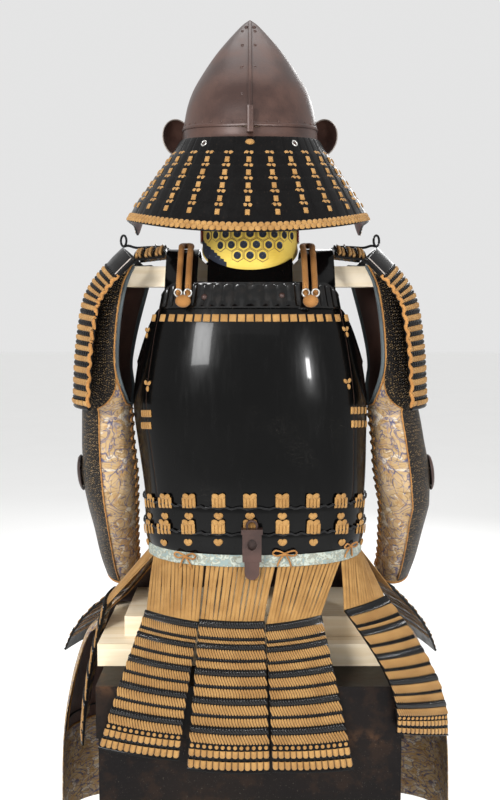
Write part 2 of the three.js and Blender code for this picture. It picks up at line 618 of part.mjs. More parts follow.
// The belt line as points at equal steps along it, measured from the middle of the back.
const beltSteps = 720;
const beltLine = spread(0, 360, beltSteps).map((a) => oblong(177.2, 133.2, a));
const beltLength = [0];
for (let i = 1; i <= beltSteps; i++) {
  const [p, q] = [beltLine[i - 1], beltLine[i]];
  beltLength.push(beltLength[i - 1] + Math.hypot(q[0] - p[0], q[1] - p[1]));
}
const beltAround = beltLength[beltSteps];
function onBelt(s) {
  const at = ((s % beltAround) + beltAround) % beltAround;
  let i = 1;
  while (beltLength[i] < at) i++;
  const t = (at - beltLength[i - 1]) / (beltLength[i] - beltLength[i - 1]);
  return [mix(beltLine[i - 1][0], beltLine[i][0], t), mix(beltLine[i - 1][1], beltLine[i][1], t)];
}
const beltScale = beltAround / (9 * TASSET.pitch);

// A row's top or hem line: u runs from -1 at its left end to 1, seen from outside.
function lineAt(x, y, z, turn, tilt, half, bow, u) {
  const [c, s] = [Math.cos(rad(turn)), Math.sin(rad(turn))];
  const along = half * u;
  const inward = bow * u * u;
  return [x + c * along - s * inward, y + s * along + c * inward, z - Math.sin(rad(tilt)) * along];
}
const tassetTop = (t, u) => lineAt(t.hx, t.hy, t.hz, t.turn, t.tilt, t.half, t.bow, u);
const tassetHem = (t, u) => lineAt(t.ex, t.ey, t.ez, t.eturn, t.etilt, t.ehalf, t.bow, u);
const beltPoint = (t, u, z) => {
  const s = (TASSET.first + t.k * TASSET.pitch + u * (TASSET.pitch - TASSET.gapAtBelt) / 2) * beltScale;
  const [x, y] = onBelt(s);
  return [x + LEAN, y, z];
};

// Lames of a laced panel, in shares of its length: a step at each top edge, then two bands of braid.
function lacedOutline(lames, wall, step, bands, innerSpans) {
  const outer = [];
  for (let k = 0; k < lames; k++) {
    const [a, b] = [k / lames, (k + 1) / lames];
    for (const { share, lift } of bands) outer.push([mix(a, b, share), wall + step * lift]);
  }
  const inner = spread(1, 0, innerSpans).map((v) => [v, 0]);
  return [...outer, [1, wall], ...inner];
}
const tassetBands = [
  { share: 0.004, lift: 1.05 }, { share: 0.3, lift: 0.85 }, { share: 0.42, lift: 1.25 }, { share: 0.97, lift: 0.25 },
];
for (const t of tassets) {
  const base = (u, v) => {
    const p = mixPoint(tassetTop(t, u), tassetHem(t, u), v);
    const swell = t.swell * Math.sin(Math.PI * clamp(v, 0, 1));
    return [p[0] + Math.sin(rad(t.turn)) * swell, p[1] - Math.cos(rad(t.turn)) * swell, p[2]];
  };
  const shape = () => lacedOutline(5, TASSET.wall, TASSET.step, tassetBands, 3);
  const options = { stepU: 0.02, stepV: 0.02 };
  add(`tasset_${t.name}`, sweep(base, [-1, -0.35, 0.35, 1], shape, options), 'braid');
}

// The braids that the tassets hang by: one curtain with a flap for each, ridged along its braids.
{
  const order = [...tassets].sort((a, b) => a.k - b.k);
  const ridges = 3;
  const points = [];
  const triangles = [];
  const stations = [];
  for (const t of order) {
    stations.push({ t, u: -1.012, short: true });
    for (const u of spread(-1, 1, ridges * 2)) stations.push({ t, u, short: false });
    stations.push({ t, u: 1.012, short: true });
  }
  stations.forEach(({ t, u, short }, index) => {
    const ridge = short ? 0 : (index % 2 === 0 ? 1.1 : 0);
    const out = (z, off) => {
      const p = beltPoint(t, u, z);
      const angle = Math.atan2((p[0] - LEAN) / 1.33, -p[1]);
      return [p[0] + Math.sin(angle) * off, p[1] - Math.cos(angle) * off, z];
    };
    const top = BELT.top + 8;
    const low = BELT.low - 1.5;
    const end = tassetTop(t, clamp(u, -1, 1));
    const reach = short ? 0.03 : 1;
    const foot = (off) => {
      const from = out(low, off);
      const lean = [Math.sin(rad(t.turn)) * off, -Math.cos(rad(t.turn)) * off];
      const to = [end[0] + lean[0] * 0.9, end[1] + lean[1] * 0.9, end[2] + 1.6];
      return mixPoint(from, to, reach);
    };
    points.push(out(top, -0.9), out(low, -0.9), foot(0.2 + ridge), foot(-1.8), out(low, -2.9), out(top, -2.9));
  });
  const count = 6;
  for (let s = 0; s < stations.length; s++) {
    const next = (s + 1) % stations.length;
    for (let k = 0; k < count; k++) {
      const l = (k + 1) % count;
      const [a, b, c, d] = [s * count + k, s * count + l, next * count + l, next * count + k];
      triangles.push([a, b, c], [a, c, d]);
    }
  }
  add('suspension_braids', closedGeometry(points, triangles), 'braid');
}

// The shoulder guards: their outer line from the top, by height.
const sodeRows = [
  { v: 0, x: 207, z: 1134 }, { v: 0.12, x: 234, z: 1107 }, { v: 0.3, x: 259, z: 1076 },
  { v: 0.42, x: 272, z: 1050 }, { v: 0.56, x: 280.5, z: 1008 }, { v: 0.74, x: 286.5, z: 958 },
  { v: 0.9, x: 289.5, z: 906 }, { v: 1, x: 290, z: 874 },
];
const sodeBands = [{ share: 0.004, lift: 1 }, { share: 0.25, lift: 0.75 }, { share: 0.4, lift: 1.2 },
  { share: 0.97, lift: 0.3 }];
for (const { name, sign } of SIDES) {
  const line = (v) => [lookup(sodeRows, 'v', 'x', v), lookup(sodeRows, 'v', 'z', v)];
  const base = (u, v) => {
    const [x, z] = line(v);
    const [x1, z1] = line(clamp(v, 0, 0.97) + 0.03);
    const [x0, z0] = line(clamp(v, 0.03, 1) - 0.03);
    const length = Math.hypot(x1 - x0, z1 - z0);
    const [nx, nz] = [-(z1 - z0) / length, (x1 - x0) / length];
    const sag = 38 * u * u;
    return [sign * (x - nx * sag), (SODE_HALF + 6 * v) * u, z - nz * sag];
  };
  add(`shoulder_guard_${name}`, sweep(base, [-1, -0.62, -0.25, 0.25, 0.62, 1],
    () => lacedOutline(7, 2.2, 2.6, sodeBands, 8), { stepU: 0.02, stepV: 0.02 }), 'braid');

  // The small wing between the strap and the guard, and the cord that ties the guard on.
  const wing = (u, v) => {
    const y = 44 * u - 4;
    return [sign * mix(137.5, 188, v), y, 1131 - 6 * v - 0.006 * y * y];
  };
  add(`shoulder_wing_${name}`, sweep(wing, [-1, -0.5, 0, 0.5, 1],
    () => lacedOutline(3, 2, 2.2, tassetBands, 1), { stepU: 0.02, stepV: 0.02, up: true }), 'braid');
  const cord = [[135.6, 13, 1135.4], [150, 12, 1139.6], [170, 10, 1139], [190, 8, 1138], [203, 5, 1141],
    [212.3, 4, 1139.3]];
  add(`guard_cord_${name}`, tube(cord.map(([x, y, z]) => [sign * x, y, z]), 2, 6, 12), 'blackCord');
}

// The sleeves: sections along the arm, and the angles where the laced seam opens to the armhole.
const armRows = [
  { v: 0, z: 1108, x: 191, y: -3, rx: 32, ry: 50, rear: -100, front: 150 },
  { v: 1, z: 1070, x: 207, y: -2, rx: 40, ry: 56, rear: -98, front: 140 },
  { v: 2, z: 1000, x: 220, y: 0, rx: 42, ry: 58, rear: -100, front: 124 },
  { v: 3, z: 935, x: 230, y: 2, rx: 41, ry: 56, rear: -112, front: 126 },
  { v: 4, z: 886, x: 239, y: 4, rx: 40, ry: 53, rear: -150, front: 168 },
  { v: 5, z: 870, x: 240, y: 5, rx: 41, ry: 53, rear: -177, front: 178 },
  { v: 6, z: 820, x: 240, y: 7, rx: 42.5, ry: 51, rear: -178, front: 178 },
  { v: 7, z: 765, x: 239, y: 14, rx: 46, ry: 49, rear: -178, front: 178 },
  { v: 8, z: 712, x: 238, y: 36, rx: 43, ry: 45, rear: -178, front: 178 },
  { v: 9, z: 655, x: 238, y: 72, rx: 38, ry: 41, rear: -178, front: 178 },
  { v: 10, z: 601, x: 237, y: 104, rx: 34, ry: 37, rear: -178, front: 178 },
  { v: 11, z: 557, x: 234, y: 137, rx: 31, ry: 33, rear: -178, front: 178 },
];
const arm = (v, column) => lookup(armRows, 'v', column, v);
const RIGHT_ARM_OUT = 30;
function armPoint(angle, v, out) {
  const lean = Math.atan2(arm(v + 0.3, 'y') - arm(v - 0.3, 'y'), arm(v - 0.3, 'z') - arm(v + 0.3, 'z'));
  const [c, s] = [Math.cos(rad(angle)), Math.sin(rad(angle))];
  const across = (arm(v, 'rx') + out) * c;
  const deep = (arm(v, 'ry') + out) * s;
  return [arm(v, 'x') + across, arm(v, 'y') + deep * Math.cos(lean), arm(v, 'z') + deep * Math.sin(lean)];
}
const armSpan = [0, 0.5, 1, 2, 3, 4, 5, 6, 7, 7.5, 8, 9.5, 11];
const sleeveStations = spread(0, 1, 12);
for (const { name, sign } of SIDES) {
  const mirror = ([x, y, z]) => {
    const out = sign > 0 ? RIGHT_ARM_OUT * clamp((870 - z) / 170, 0, 1) : 0;
    return [sign * (x + out), y, z];
  };
  const sleeve = (u, v) => mirror(armPoint(mix(arm(v, 'rear'), arm(v, 'front'), u), v, 0));
  add(`sleeve_${name}`, sweep(sleeve, sleeveStations, () => plate(armSpan, 0, -CLOTH),
    { stepU: 0.01, stepV: 0.05 }), 'brocade');
  const mailSpan = armSpan.filter((v) => v > 0.2).map((v) => (v === 11 ? 10.85 : v));
  const panel = sweep(sleeve, sleeveStations.slice(4, 9), () => plate(mailSpan, 2.6, 2 * GAP),
    { stepU: 0.01, stepV: 0.05 });
  add(`mail_panel_${name}`, panel, 'mail');
}

// The thigh apron: two panels that hang from the waist over the front of the chest and round its corners.
const apronRows = [
  { v: 0, z: 642, y0: 129.4, c1x: 60, c1y: 129.4, c2x: 160, c2y: 108, x2: 169.2, y2: 13 },
  { v: 1, z: 600, y0: 127, c1x: 70, c1y: 128, c2x: 162, c2y: 118, x2: 182, y2: 20 },
  { v: 2, z: 534, y0: 146, c1x: 120, c1y: 150, c2x: 219, c2y: 141, x2: 226, y2: 56 },
  { v: 2.5, z: 506, y0: 162, c1x: 150, c1y: 164, c2x: 264, c2y: 152, x2: 252, y2: 74 },
  { v: 3, z: 469, y0: 205, c1x: 170, c1y: 213, c2x: 307, c2y: 260, x2: 274, y2: 86 },
  { v: 4, z: 440, y0: 222, c1x: 160, c1y: 226, c2x: 318, c2y: 252, x2: 300, y2: 88 },
  { v: 5, z: 350, y0: 230, c1x: 170, c1y: 236, c2x: 345, c2y: 272, x2: 330, y2: 97 },
  { v: 6, z: 240, y0: 233, c1x: 175, c1y: 242, c2x: 372, c2y: 285, x2: 350, y2: 103 },
  { v: 7, z: 70, y0: 236, c1x: 178, c1y: 246, c2x: 384, c2y: 292, x2: 356, y2: 106 },
];
const apronStations = spread(0, 1, 13);
const apron = (v, column) => lookup(apronRows, 'v', column, v);
const apronSpan = [0, 1, 2, 2.5, 3, 4, 5, 6, 7];
for (const { name, sign } of SIDES) {
  const base = (u, v) => {
    const [a, b, c, d] = [(1 - u) ** 3, 3 * u * (1 - u) ** 2, 3 * u * u * (1 - u), u ** 3];
    const fold = 3.5 * Math.sin(u * 15 + v * 0.25) * smooth(v, 2.5, 5) * smooth(u, 0, 0.2);
    const x = a * 5 + b * apron(v, 'c1x') + c * apron(v, 'c2x') + d * apron(v, 'x2');
    const y = a * apron(v, 'y0') + b * apron(v, 'c1y') + c * apron(v, 'c2y') + d * apron(v, 'y2');
    const wider = sign > 0 ? 20 * u * smooth(v, 3, 6) : 0;
    const lean = LEAN * (1 - smooth(v, 0, 2));
    return [sign * (x + fold * u + wider) + lean, y + fold * (1 - u), apron(v, 'z')];
  };
  const options = { stepU: 0.01, stepV: 0.05 };
  add(`apron_panel_${name}`, sweep(base, apronStations, () => plate(apronSpan, 0, -CLOTH), options), 'brocade');
  const liningRows = apronSpan.slice(1, -1);
  add(`apron_lining_${name}`, sweep(base, apronStations.slice(1, -1),
    () => plate(liningRows, -CLOTH - 0.9, -CLOTH - 2.6), options), 'lining');
}

// The chin and cheek guard, outside the collar, and the throat lames that hang from it.
{
  const guard = (angle, v) => {
    const r = COLLAR.radius + COLLAR.pad + 0.5;
    const deep = Math.cos(rad(angle)) > 0 ? 100 : r;
    const top = 1206 - 28 * smooth(Math.abs(angle), 60, 10);
    const low = 1143 - 6 * smooth(Math.abs(angle), 60, 0);
    return [r * Math.sin(rad(angle)), COLLAR.midY + deep * Math.cos(rad(angle)), mix(low, top, v)];
  };
  add('cheek_guard', sweep(guard, spread(-104, 104, 18), () => plate([0, 0.5, 1], WALL, 0),
    { stepU: 1, from: [0, COLLAR.midY] }), 'red');
  const throat = (u, v) => {
    const a = rad(52 * u);
    const side = mix(83.2, 102, v);
    const deep = mix(104.4, 148, v);
    return [side * Math.sin(a), COLLAR.midY + deep * Math.cos(a), mix(1152, 1050, v)];
  };
  add('throat_guard', sweep(throat, spread(-1, 1, 8),
    () => lacedOutline(3, 2, 2.2, tassetBands, 1), { stepU: 0.02, stepV: 0.02 }), 'braid');
}

// The thick braided loops over the straps, each ending in a knot on the fluted plate.
for (const { name, sign } of SIDES) {
  const middle = sign > 0 ? 93 : 103;
  const spread2 = 7.4;
  const clear = 4.6 + GAP;
  const lift = (x, v) => {
    const p = strapBase(x, v);
    const a = strapBase(x, v - 0.1);
    const b = strapBase(x, v + 0.1);
    const length = Math.hypot(b[1] - a[1], b[2] - a[2]);
    const off = WALL + clear + 0.6;
    return [x, p[1] - (b[2] - a[2]) / length * off, p[2] + (b[1] - a[1]) / length * off];
  };
  const half = (d) => {
    const x = middle + d;
    const on = (z, off) => [x, -(ringY(x, z) + off), z];
    return [on(1050, 13), on(1062, 13.5), on(1074, 13.5), lift(x, 1.75), lift(x, 2.3), lift(x, 2.9), lift(x, 3.3)];
  };
  const route = [...half(-spread2), lift(middle, 3.75), ...half(spread2).reverse()];
  const cord = tube(route.map(([x, y, z]) => [sign * x, y, z]), 4.6, 6, 22);
  const knot = new THREE.SphereGeometry(1, 8, 6);
  knot.scale(11.5, 6.6, 9.5);
  knot.translate(sign * middle, -(ringY(middle - 10, 1042) + 14.2), 1045);
  add(`shoulder_cord_${name}`, join(cord, knot), 'braid');
}

// The iron socket at the back of the waist, with its tongue over the braids.
{
  const x = 3;
  const back = -(133.2 + 7.4);
  const bodySolid = box(x - 14.7, x + 14.7, back - 15, back - 1.2, 645, 692);
  const flange = box(x - 16.5, x + 16.5, back - 17, back - 1, 688, 696);
  const eye = new THREE.TorusGeometry(8, 2.2, 6, 12);
  eye.rotateX(Math.PI / 2);
  eye.translate(x, back - 9, 700);
  const tongue = new THREE.Shape();
  tongue.moveTo(-11.5, 650);
  tongue.lineTo(-11.5, 628);
  tongue.absarc(0, 628, 11.5, Math.PI, 2 * Math.PI, false);
  tongue.lineTo(11.5, 650);
  tongue.closePath();
  const upright = new THREE.ExtrudeGeometry(tongue, { depth: 3, bevelEnabled: false, curveSegments: 8 });
  const m = new THREE.Matrix4().set(1, 0, 0, x, 0, 0, -1, back - 10, 0, 1, 0, 0, 0, 0, 0, 1);
  upright.applyMatrix4(m);
  const hole = new THREE.CylinderGeometry(1, 1, 11, 16);
  hole.scale(7.3, 1, 9);
  hole.translate(x, back - 13, 672);
  const solid = fromSolid([bodySolid, flange, eye, upright].map(toSolid).reduce((a, b) => a.add(b)).subtract(toSolid(hole)));
  add('waist_socket', solid, 'russet');
}

export default armour;
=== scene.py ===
# A suit of samurai armour seen from behind, standing on its lacquered chest.
import math
import bpy
import numpy as np
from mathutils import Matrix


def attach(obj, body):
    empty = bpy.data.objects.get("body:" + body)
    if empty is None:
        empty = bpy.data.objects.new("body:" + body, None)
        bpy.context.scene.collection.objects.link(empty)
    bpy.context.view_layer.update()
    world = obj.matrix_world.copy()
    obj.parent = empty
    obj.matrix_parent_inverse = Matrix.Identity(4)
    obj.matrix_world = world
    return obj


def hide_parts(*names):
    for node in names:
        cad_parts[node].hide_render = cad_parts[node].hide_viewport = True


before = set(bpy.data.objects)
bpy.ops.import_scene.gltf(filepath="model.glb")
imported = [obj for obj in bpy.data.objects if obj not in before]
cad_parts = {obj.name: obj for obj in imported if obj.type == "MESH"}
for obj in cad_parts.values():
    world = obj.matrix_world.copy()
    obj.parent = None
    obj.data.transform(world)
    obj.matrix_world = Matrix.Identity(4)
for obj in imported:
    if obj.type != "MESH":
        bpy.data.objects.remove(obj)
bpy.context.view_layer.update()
MM = 0.001
TAU = 2 * math.pi
# The photograph: its width and height and its focal length in pixels, and the camera's tilt and place.
WIDE, HIGH, FOCAL = 500, 800, 891.0
TILT = math.atan(69 / FOCAL)
EYE = (0.0, -1500.0, 999.0)


def add(name, data):
    thing = bpy.data.objects.new(name, data)
    bpy.context.scene.collection.objects.link(thing)
    return thing


def make_camera():
    data = bpy.data.cameras.new("camera")
    data.sensor_width = 36.0
    data.lens = 36.0 * FOCAL / HIGH
    camera = add("camera", data)
    camera.location = [length * MM for length in EYE]
    camera.rotation_euler = (math.pi / 2 - TILT, 0, 0)
    bpy.context.scene.camera = camera


make_camera()


# The height and the distance across, in millimetres, of what the photograph shows at a pixel, at depth y.
def height_at(py, y):
    return EYE[2] + (y - EYE[1]) * math.tan(math.atan((HIGH / 2 - py) / FOCAL) - TILT)


def across_at(px, y, z):
    depth = (y - EYE[1]) * math.cos(TILT) + (EYE[2] - z) * math.sin(TILT)
    return (px - WIDE / 2) * depth / FOCAL


# Small sums used by the shapes.
def mix(a, b, t):
    return a + (b - a) * t


def smooth(x, low, high):
    t = np.clip((x - low) / (high - low), 0, 1)
    return t * t * (3 - 2 * t)


def bell(x, middle, wide):
    return np.exp(-(((x - middle) / wide) ** 2))


def hermite(t, a, b, start, end):
    t2, t3 = t * t, t ** 3
    return (2 * t3 - 3 * t2 + 1) * a + (t3 - 2 * t2 + t) * start + (3 * t2 - 2 * t3) * b + (t3 - t2) * end


# A table with named columns, and its smooth curve through them.
def rows(names, *lines):
    table = np.array(lines, dtype=float)
    return {name: table[:, i] for i, name in enumerate(names.split())}


def lookup(table, key, column, value):
    x, y = table[key], table[column]
    if x[0] > x[-1]:
        x, y = x[::-1], y[::-1]
    value = np.clip(np.asarray(value, dtype=float), x[0], x[-1])
    i = np.clip(np.searchsorted(x, value, side="left"), 1, len(x) - 1)
    span = x[i] - x[i - 1]
    t = (value - x[i - 1]) / span
    rise = y[i] - y[i - 1]
    before = np.maximum(i - 2, 0)
    after = np.minimum(i + 1, len(x) - 1)
    start = np.where(i > 1, (y[i] - y[before]) / (x[i] - x[before]) * span, rise)
    end = np.where(after > i, (y[after] - y[i - 1]) / (x[after] - x[i - 1]) * span, rise)
    return hermite(t, y[i - 1], y[i], start, end)


def stack(*parts):
    return np.stack(np.broadcast_arrays(*parts), -1)


def unit(v):
    return v / np.maximum(np.linalg.norm(v, axis=-1, keepdims=True), 1e-9)


# How far along a line each of its points lies.
def run(line):
    return np.concatenate([[0], np.cumsum(np.linalg.norm(np.diff(line, axis=0), axis=1))])


def facing(base, u, v, step_u, step_v):
    a = base(u + step_u, v) - base(u - step_u, v)
    b = base(u, v + step_v) - base(u, v - step_v)
    return unit(np.cross(a, b))


# One visible piece, gathered from patches of points in millimetres.
class Piece:
    def __init__(self):
        self.points, self.faces, self.uvs, self.marks = [], [], [], []
        self.count = 0

    def patch(self, points, finish=0, wrap=False, uv=None, turn=False):
        high, wide = points.shape[:2]
        index = self.count + np.arange(high * wide).reshape(high, wide)
        self.points.append(points.reshape(-1, 3))
        self.count += high * wide
        if uv is None:
            mid_row, mid_column = points[high // 2], points[:, wide // 2]
            closed = np.concatenate([mid_row, mid_row[:1]]) if wrap else mid_row
            uv = stack(run(closed)[None, :] * MM, run(mid_column)[:, None] * MM)
        if wrap:
            index = np.concatenate([index, index[:, :1]], 1)
            if uv.shape[1] < index.shape[1]:
                uv = np.concatenate([uv, uv[:, -1:] + (uv[:, -1:] - uv[:, -2:-1])], 1)
        corners = [(slice(None, -1), slice(None, -1)), (slice(None, -1), slice(1, None)),
                   (slice(1, None), slice(1, None)), (slice(1, None), slice(None, -1))]
        if turn:
            corners = corners[::-1]
        quads = np.stack([index[c] for c in corners], -1).reshape(-1, 4)
        self.faces.append(quads)
        self.uvs.append(np.stack([uv[c] for c in corners], 2).reshape(-1, 2))
        marks = np.broadcast_to(np.asarray(finish, dtype=int), (high - 1, index.shape[1] - 1))
        self.marks.append(marks.reshape(-1))
        return self

    def make(self, name, finishes, nodes=()):
        mesh = bpy.data.meshes.new(name)
        points = np.concatenate(self.points) * MM
        faces = np.concatenate(self.faces)
        mesh.from_pydata(points.tolist(), [], faces.tolist())
        layer = mesh.uv_layers.new(name="cut")
        layer.data.foreach_set("uv", np.concatenate(self.uvs).astype(np.float32).reshape(-1))
        for finish in finishes:
            mesh.materials.append(finish)
        mesh.polygons.foreach_set("material_index", np.concatenate(self.marks).astype(np.int32))
        mesh.polygons.foreach_set("use_smooth", np.ones(len(faces), dtype=bool))
        mesh.update()
        piece = add(name, mesh)
        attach(piece, "root")
        if nodes:
            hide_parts(*nodes)
        return piece


# The points of base(u, v), their outward directions, and a number below 0 where those had to be turned round.
# Outward is up, or else away from the upright line at `out`.
def outside(base, u, v, steps, out):
    at, n = base(u, v), facing(base, u, v, *steps)
    row, column = u.shape[0] // 2, u.shape[1] // 2
    at_middle, n_middle = at[row, column], n[row, column]
    toward = n_middle[2] if out == "up" else np.dot(n_middle[:2], at_middle[:2] - np.array(out or (0, 0)))
    return at, n if toward > 0 else -n, toward


# Directions along a line, each turned to look along `way`.
def turned(n, way):
    way = np.asarray(way, float)
    return n * np.sign(np.sum(n[:, :way.shape[-1]] * way, -1))[:, None]


def ring_round(centre, across, up, count):
    turn = np.linspace(0, TAU, count + 1)[:-1]
    return np.array([centre + np.asarray(across) * math.cos(a) + np.asarray(up) * math.sin(a) for a in turn])


# A wall over base(u, v): its outer and inner faces and the edges between them. It returns the outer face and the
# outward directions. Its first patch is the outer face, so piece.marks[-6] then holds that face's finishes.
def wall(piece, base, u, v, outer, inner, steps, out=None, finish=0, inside=None, wrap=False, uv=None):
    u, v = np.broadcast_arrays(np.asarray(u, float), np.asarray(v, float))
    at, n, _ = outside(base, u, v, steps, out)
    outer = np.broadcast_to(np.asarray(outer, float), u.shape)[..., None]
    inner = np.broadcast_to(np.asarray(inner, float), u.shape)[..., None]
    front, back = at + n * outer, at + n * inner
    inside = finish if inside is None else inside
    piece.patch(front, finish, wrap, uv)
    piece.patch(back, inside, wrap, uv, turn=True)
    for row in (0, -1):
        piece.patch(np.stack([front[row], back[row]]), inside, wrap, turn=row == 0)
    if not wrap:
        for column in (0, -1):
            piece.patch(np.stack([front[:, column], back[:, column]]), inside, turn=column == -1)
    return front, n


# A round cord along points; strands twist round it, and its ends close. PLY is the twist, count and depth of the
# strands of a three-ply cord.
PLY = (0.8, 3, 0.2)


def cord(piece, path, radius, finish=0, sides=8, twist=0.0, strands=3, depth=0.0, step=2.0, flat=1.0, wrap=False):
    path = np.asarray(path, float)
    knots = np.concatenate([path[:1] * 2 - path[1:2], path, path[-1:] * 2 - path[-2:-1]])
    if wrap:
        knots = np.concatenate([path[-1:], path, path[:2]])
    fine = []
    for i in range(1, len(knots) - 2):
        p, q, r, s = knots[i - 1], knots[i], knots[i + 1], knots[i + 2]
        count = max(2, int(np.linalg.norm(r - q) / step))
        t = np.linspace(0, 1, count, endpoint=False)[:, None]
        fine.append(0.5 * (2 * q + (r - p) * t + (2 * p - 5 * q + 4 * r - s) * t ** 2
                           + (3 * q - p - 3 * r + s) * t ** 3))
    line = np.concatenate(fine + [knots[-2][None]])
    along = unit(np.gradient(line, axis=0))
    side = np.cross(along, [0.31, 0.2, 0.93])
    side = unit(np.where(np.linalg.norm(side, axis=1, keepdims=True) < 0.1, np.cross(along, [1, 0, 0]), side))
    up = np.cross(side, along)
    length = run(line)
    angle = np.linspace(0, TAU, sides, endpoint=False)[None, :]
    swell = 1 + depth * np.abs(np.sin(strands / 2 * angle + twist * length[:, None])) - depth / 2
    size = radius * swell
    if not wrap:
        size[0] = size[-1] = radius * 0.05
    ring = (line[:, None] + side[:, None] * (size * np.cos(angle))[..., None]
            + up[:, None] * (size * np.sin(angle) * flat)[..., None])
    uv = stack(angle * radius * MM, (length * MM)[:, None])
    piece.patch(ring, finish, True, uv)
    return line


# A rounded pad of braid, lying on a face at a spot, with its sides turned down to the face.
def pad(piece, spot, right, up, wide, high, thick, finish=0, turn=0.0, power=4.0, n=7):
    right, up = unit(np.asarray(right, float)), unit(np.asarray(up, float))
    out = np.cross(right, up)
    c, s = math.cos(math.radians(turn)), math.sin(math.radians(turn))
    t = np.sin(np.linspace(-1, 1, n) * math.pi / 2)
    x, y = np.meshgrid(t, t)
    if power < 3:
        x, y = x * np.sqrt(1 - y * y / 2), y * np.sqrt(1 - x * x / 2)
    edge = np.maximum(np.abs(x), np.abs(y)) if power >= 3 else np.sqrt(x * x + y * y)
    lift = thick * np.maximum(1 - np.clip(edge, 0, 1) ** power, 0) ** 0.5
    a, b = x * wide / 2, y * high / 2
    points = (np.asarray(spot, float) + (a * c - b * s)[..., None] * right + (a * s + b * c)[..., None] * up
              + lift[..., None] * out)
    piece.patch(points, finish, uv=stack(a * MM, b * MM))


# Shader sums as plain expressions.
class Val:
    def __init__(self, paint, socket):
        self.paint, self.socket = paint, socket

    def sum(self, operation, *others):
        return self.paint.node("ShaderNodeMath", {"operation": operation}, self, *others)

    def __add__(self, o): return self.sum("ADD", o)
    __radd__ = __add__
    def __mul__(self, o): return self.sum("MULTIPLY", o)
    __rmul__ = __mul__
    def __sub__(self, o): return self.sum("SUBTRACT", o)
    def __rsub__(self, o): return self.paint.node("ShaderNodeMath", {"operation": "SUBTRACT"}, o, self)
    def __truediv__(self, o): return self.sum("DIVIDE", o)
    def __pow__(self, o): return self.sum("POWER", o)
    def __gt__(self, o): return self.sum("GREATER_THAN", o)
    def __mod__(self, o): return self.sum("FLOORED_MODULO", o)
    def __abs__(self): return self.sum("ABSOLUTE")
    def sin(self): return self.sum("SINE")
    def least(self, o): return self.sum("MINIMUM", o)
    def most(self, o): return self.sum("MAXIMUM", o)

    def near(self, middle, slope):
        return 1 - (abs(self - middle) * slope).least(1.0)

    def waves(self, pitch):
        return (self * (TAU / pitch)).sin() * 0.5 + 0.5

    def ramp(self, low, high):
        return self.paint.node("ShaderNodeMapRange", {"interpolation_type": "SMOOTHSTEP"}, self, low, high)


# One finish: its nodes, its coordinates and the shader they end in.
class Paint:
    def __init__(self, name, roughness=0.5, metallic=0.0, **uniform):
        self.material = bpy.data.materials.new(name)
        self.material.use_nodes = True
        self.tree = self.material.node_tree
        self.shader = self.tree.nodes["Principled BSDF"]
        self.shader.inputs["Roughness"].default_value = roughness
        self.shader.inputs["Metallic"].default_value = metallic
        for key, value in uniform.items():
            self.shader.inputs[key.replace("_", " ")].default_value = value

    def node(self, kind, settings, *values, out=0, **named):
        node = self.tree.nodes.new(kind)
        for key, value in settings.items():
            setattr(node, key, value)
        for key, value in list(enumerate(values)) + list(named.items()):
            socket = node.inputs[key]
            if isinstance(value, Val):
                self.tree.links.new(value.socket, socket)
            elif value is not None:
                socket.default_value = value
        return Val(self, node.outputs[out])

    def cut(self):
        return self.node("ShaderNodeUVMap", {"uv_map": "cut"})

    def place(self):
        return self.node("ShaderNodeTexCoord", {}, out="Object")

    def part(self, vector, axis):
        return self.node("ShaderNodeSeparateXYZ", {}, vector, out=axis)

    def scaled(self, vector, scale):
        return self.node("ShaderNodeVectorMath", {"operation": "MULTIPLY"}, vector, tuple(scale))

    def noise(self, vector, scale, detail=3.0, rough=0.5, twist=0.0):
        return self.node("ShaderNodeTexNoise", {}, Vector=vector, Scale=scale, Detail=detail, Roughness=rough,
                         Distortion=twist)

    def cells(self, vector, scale):
        return self.node("ShaderNodeTexVoronoi", {"feature": "F1"}, Vector=vector, Scale=scale, out="Distance")

    def blend(self, amount, a, b):
        node = self.tree.nodes.new("ShaderNodeMix")
        node.data_type = "RGBA"
        for key, value in ((0, amount), (6, a), (7, b)):
            if isinstance(value, Val):
                self.tree.links.new(value.socket, node.inputs[key])
            else:
                node.inputs[key].default_value = value if key == 0 else (*value[:3], 1)
        return Val(self, node.outputs[2])

    def coats(self, color, *layers):
        for amount, shade in layers:
            color = self.blend(amount, color, tint(shade))
        return color

    def finish(self, color=None, roughness=None, relief=None, depth=0.001, strength=0.6):
        if color is not None:
            self.tree.links.new(color.socket, self.shader.inputs["Base Color"])
        if roughness is not None:
            self.tree.links.new(roughness.socket, self.shader.inputs["Roughness"])
        if relief is not None:
            bump = self.node("ShaderNodeBump", {}, Strength=strength, Distance=depth, Height=relief)
            self.tree.links.new(bump.socket, self.shader.inputs["Normal"])
        return self.material


def tint(text):
    parts = [int(text[i:i + 2], 16) / 255 for i in (1, 3, 5)]
    return tuple(c / 12.92 if c < 0.04045 else ((c + 0.055) / 1.055) ** 2.4 for c in parts)


def braid_finish(name, light="#b0874f", middle="#9a723e", dark="#54361a", pitch=0.0016, groove=0.28):
    p = Paint(name, roughness=0.75, Specular_IOR_Level=0.25, Sheen_Weight=0.12, Sheen_Roughness=0.4)
    uv = p.cut()
    x, y = p.part(uv, 0), p.part(uv, 1)
    bend = abs((x / (2 * pitch)) % 1.0 - 0.5) * 2.0
    plait = (y / pitch + bend * 1.2).waves(1.0)
    drift = p.noise(p.place(), 38.0, 4.0)
    fibre = p.noise(p.place(), 900.0, 2.0)
    shade = p.blend(drift.ramp(0.3, 0.7), tint(middle), tint(light))
    # Painted shade: the plait's grooves are darkened by the amount `groove`; the fibre noise is the braid's own uneven
    # colour.
    shade = p.coats(shade, ((1 - plait) * groove, dark), (fibre.ramp(0.35, 0.8) * 0.22, dark))
    return p.finish(shade, relief=plait * 0.7 + fibre * 0.3, depth=0.0005, strength=0.7)


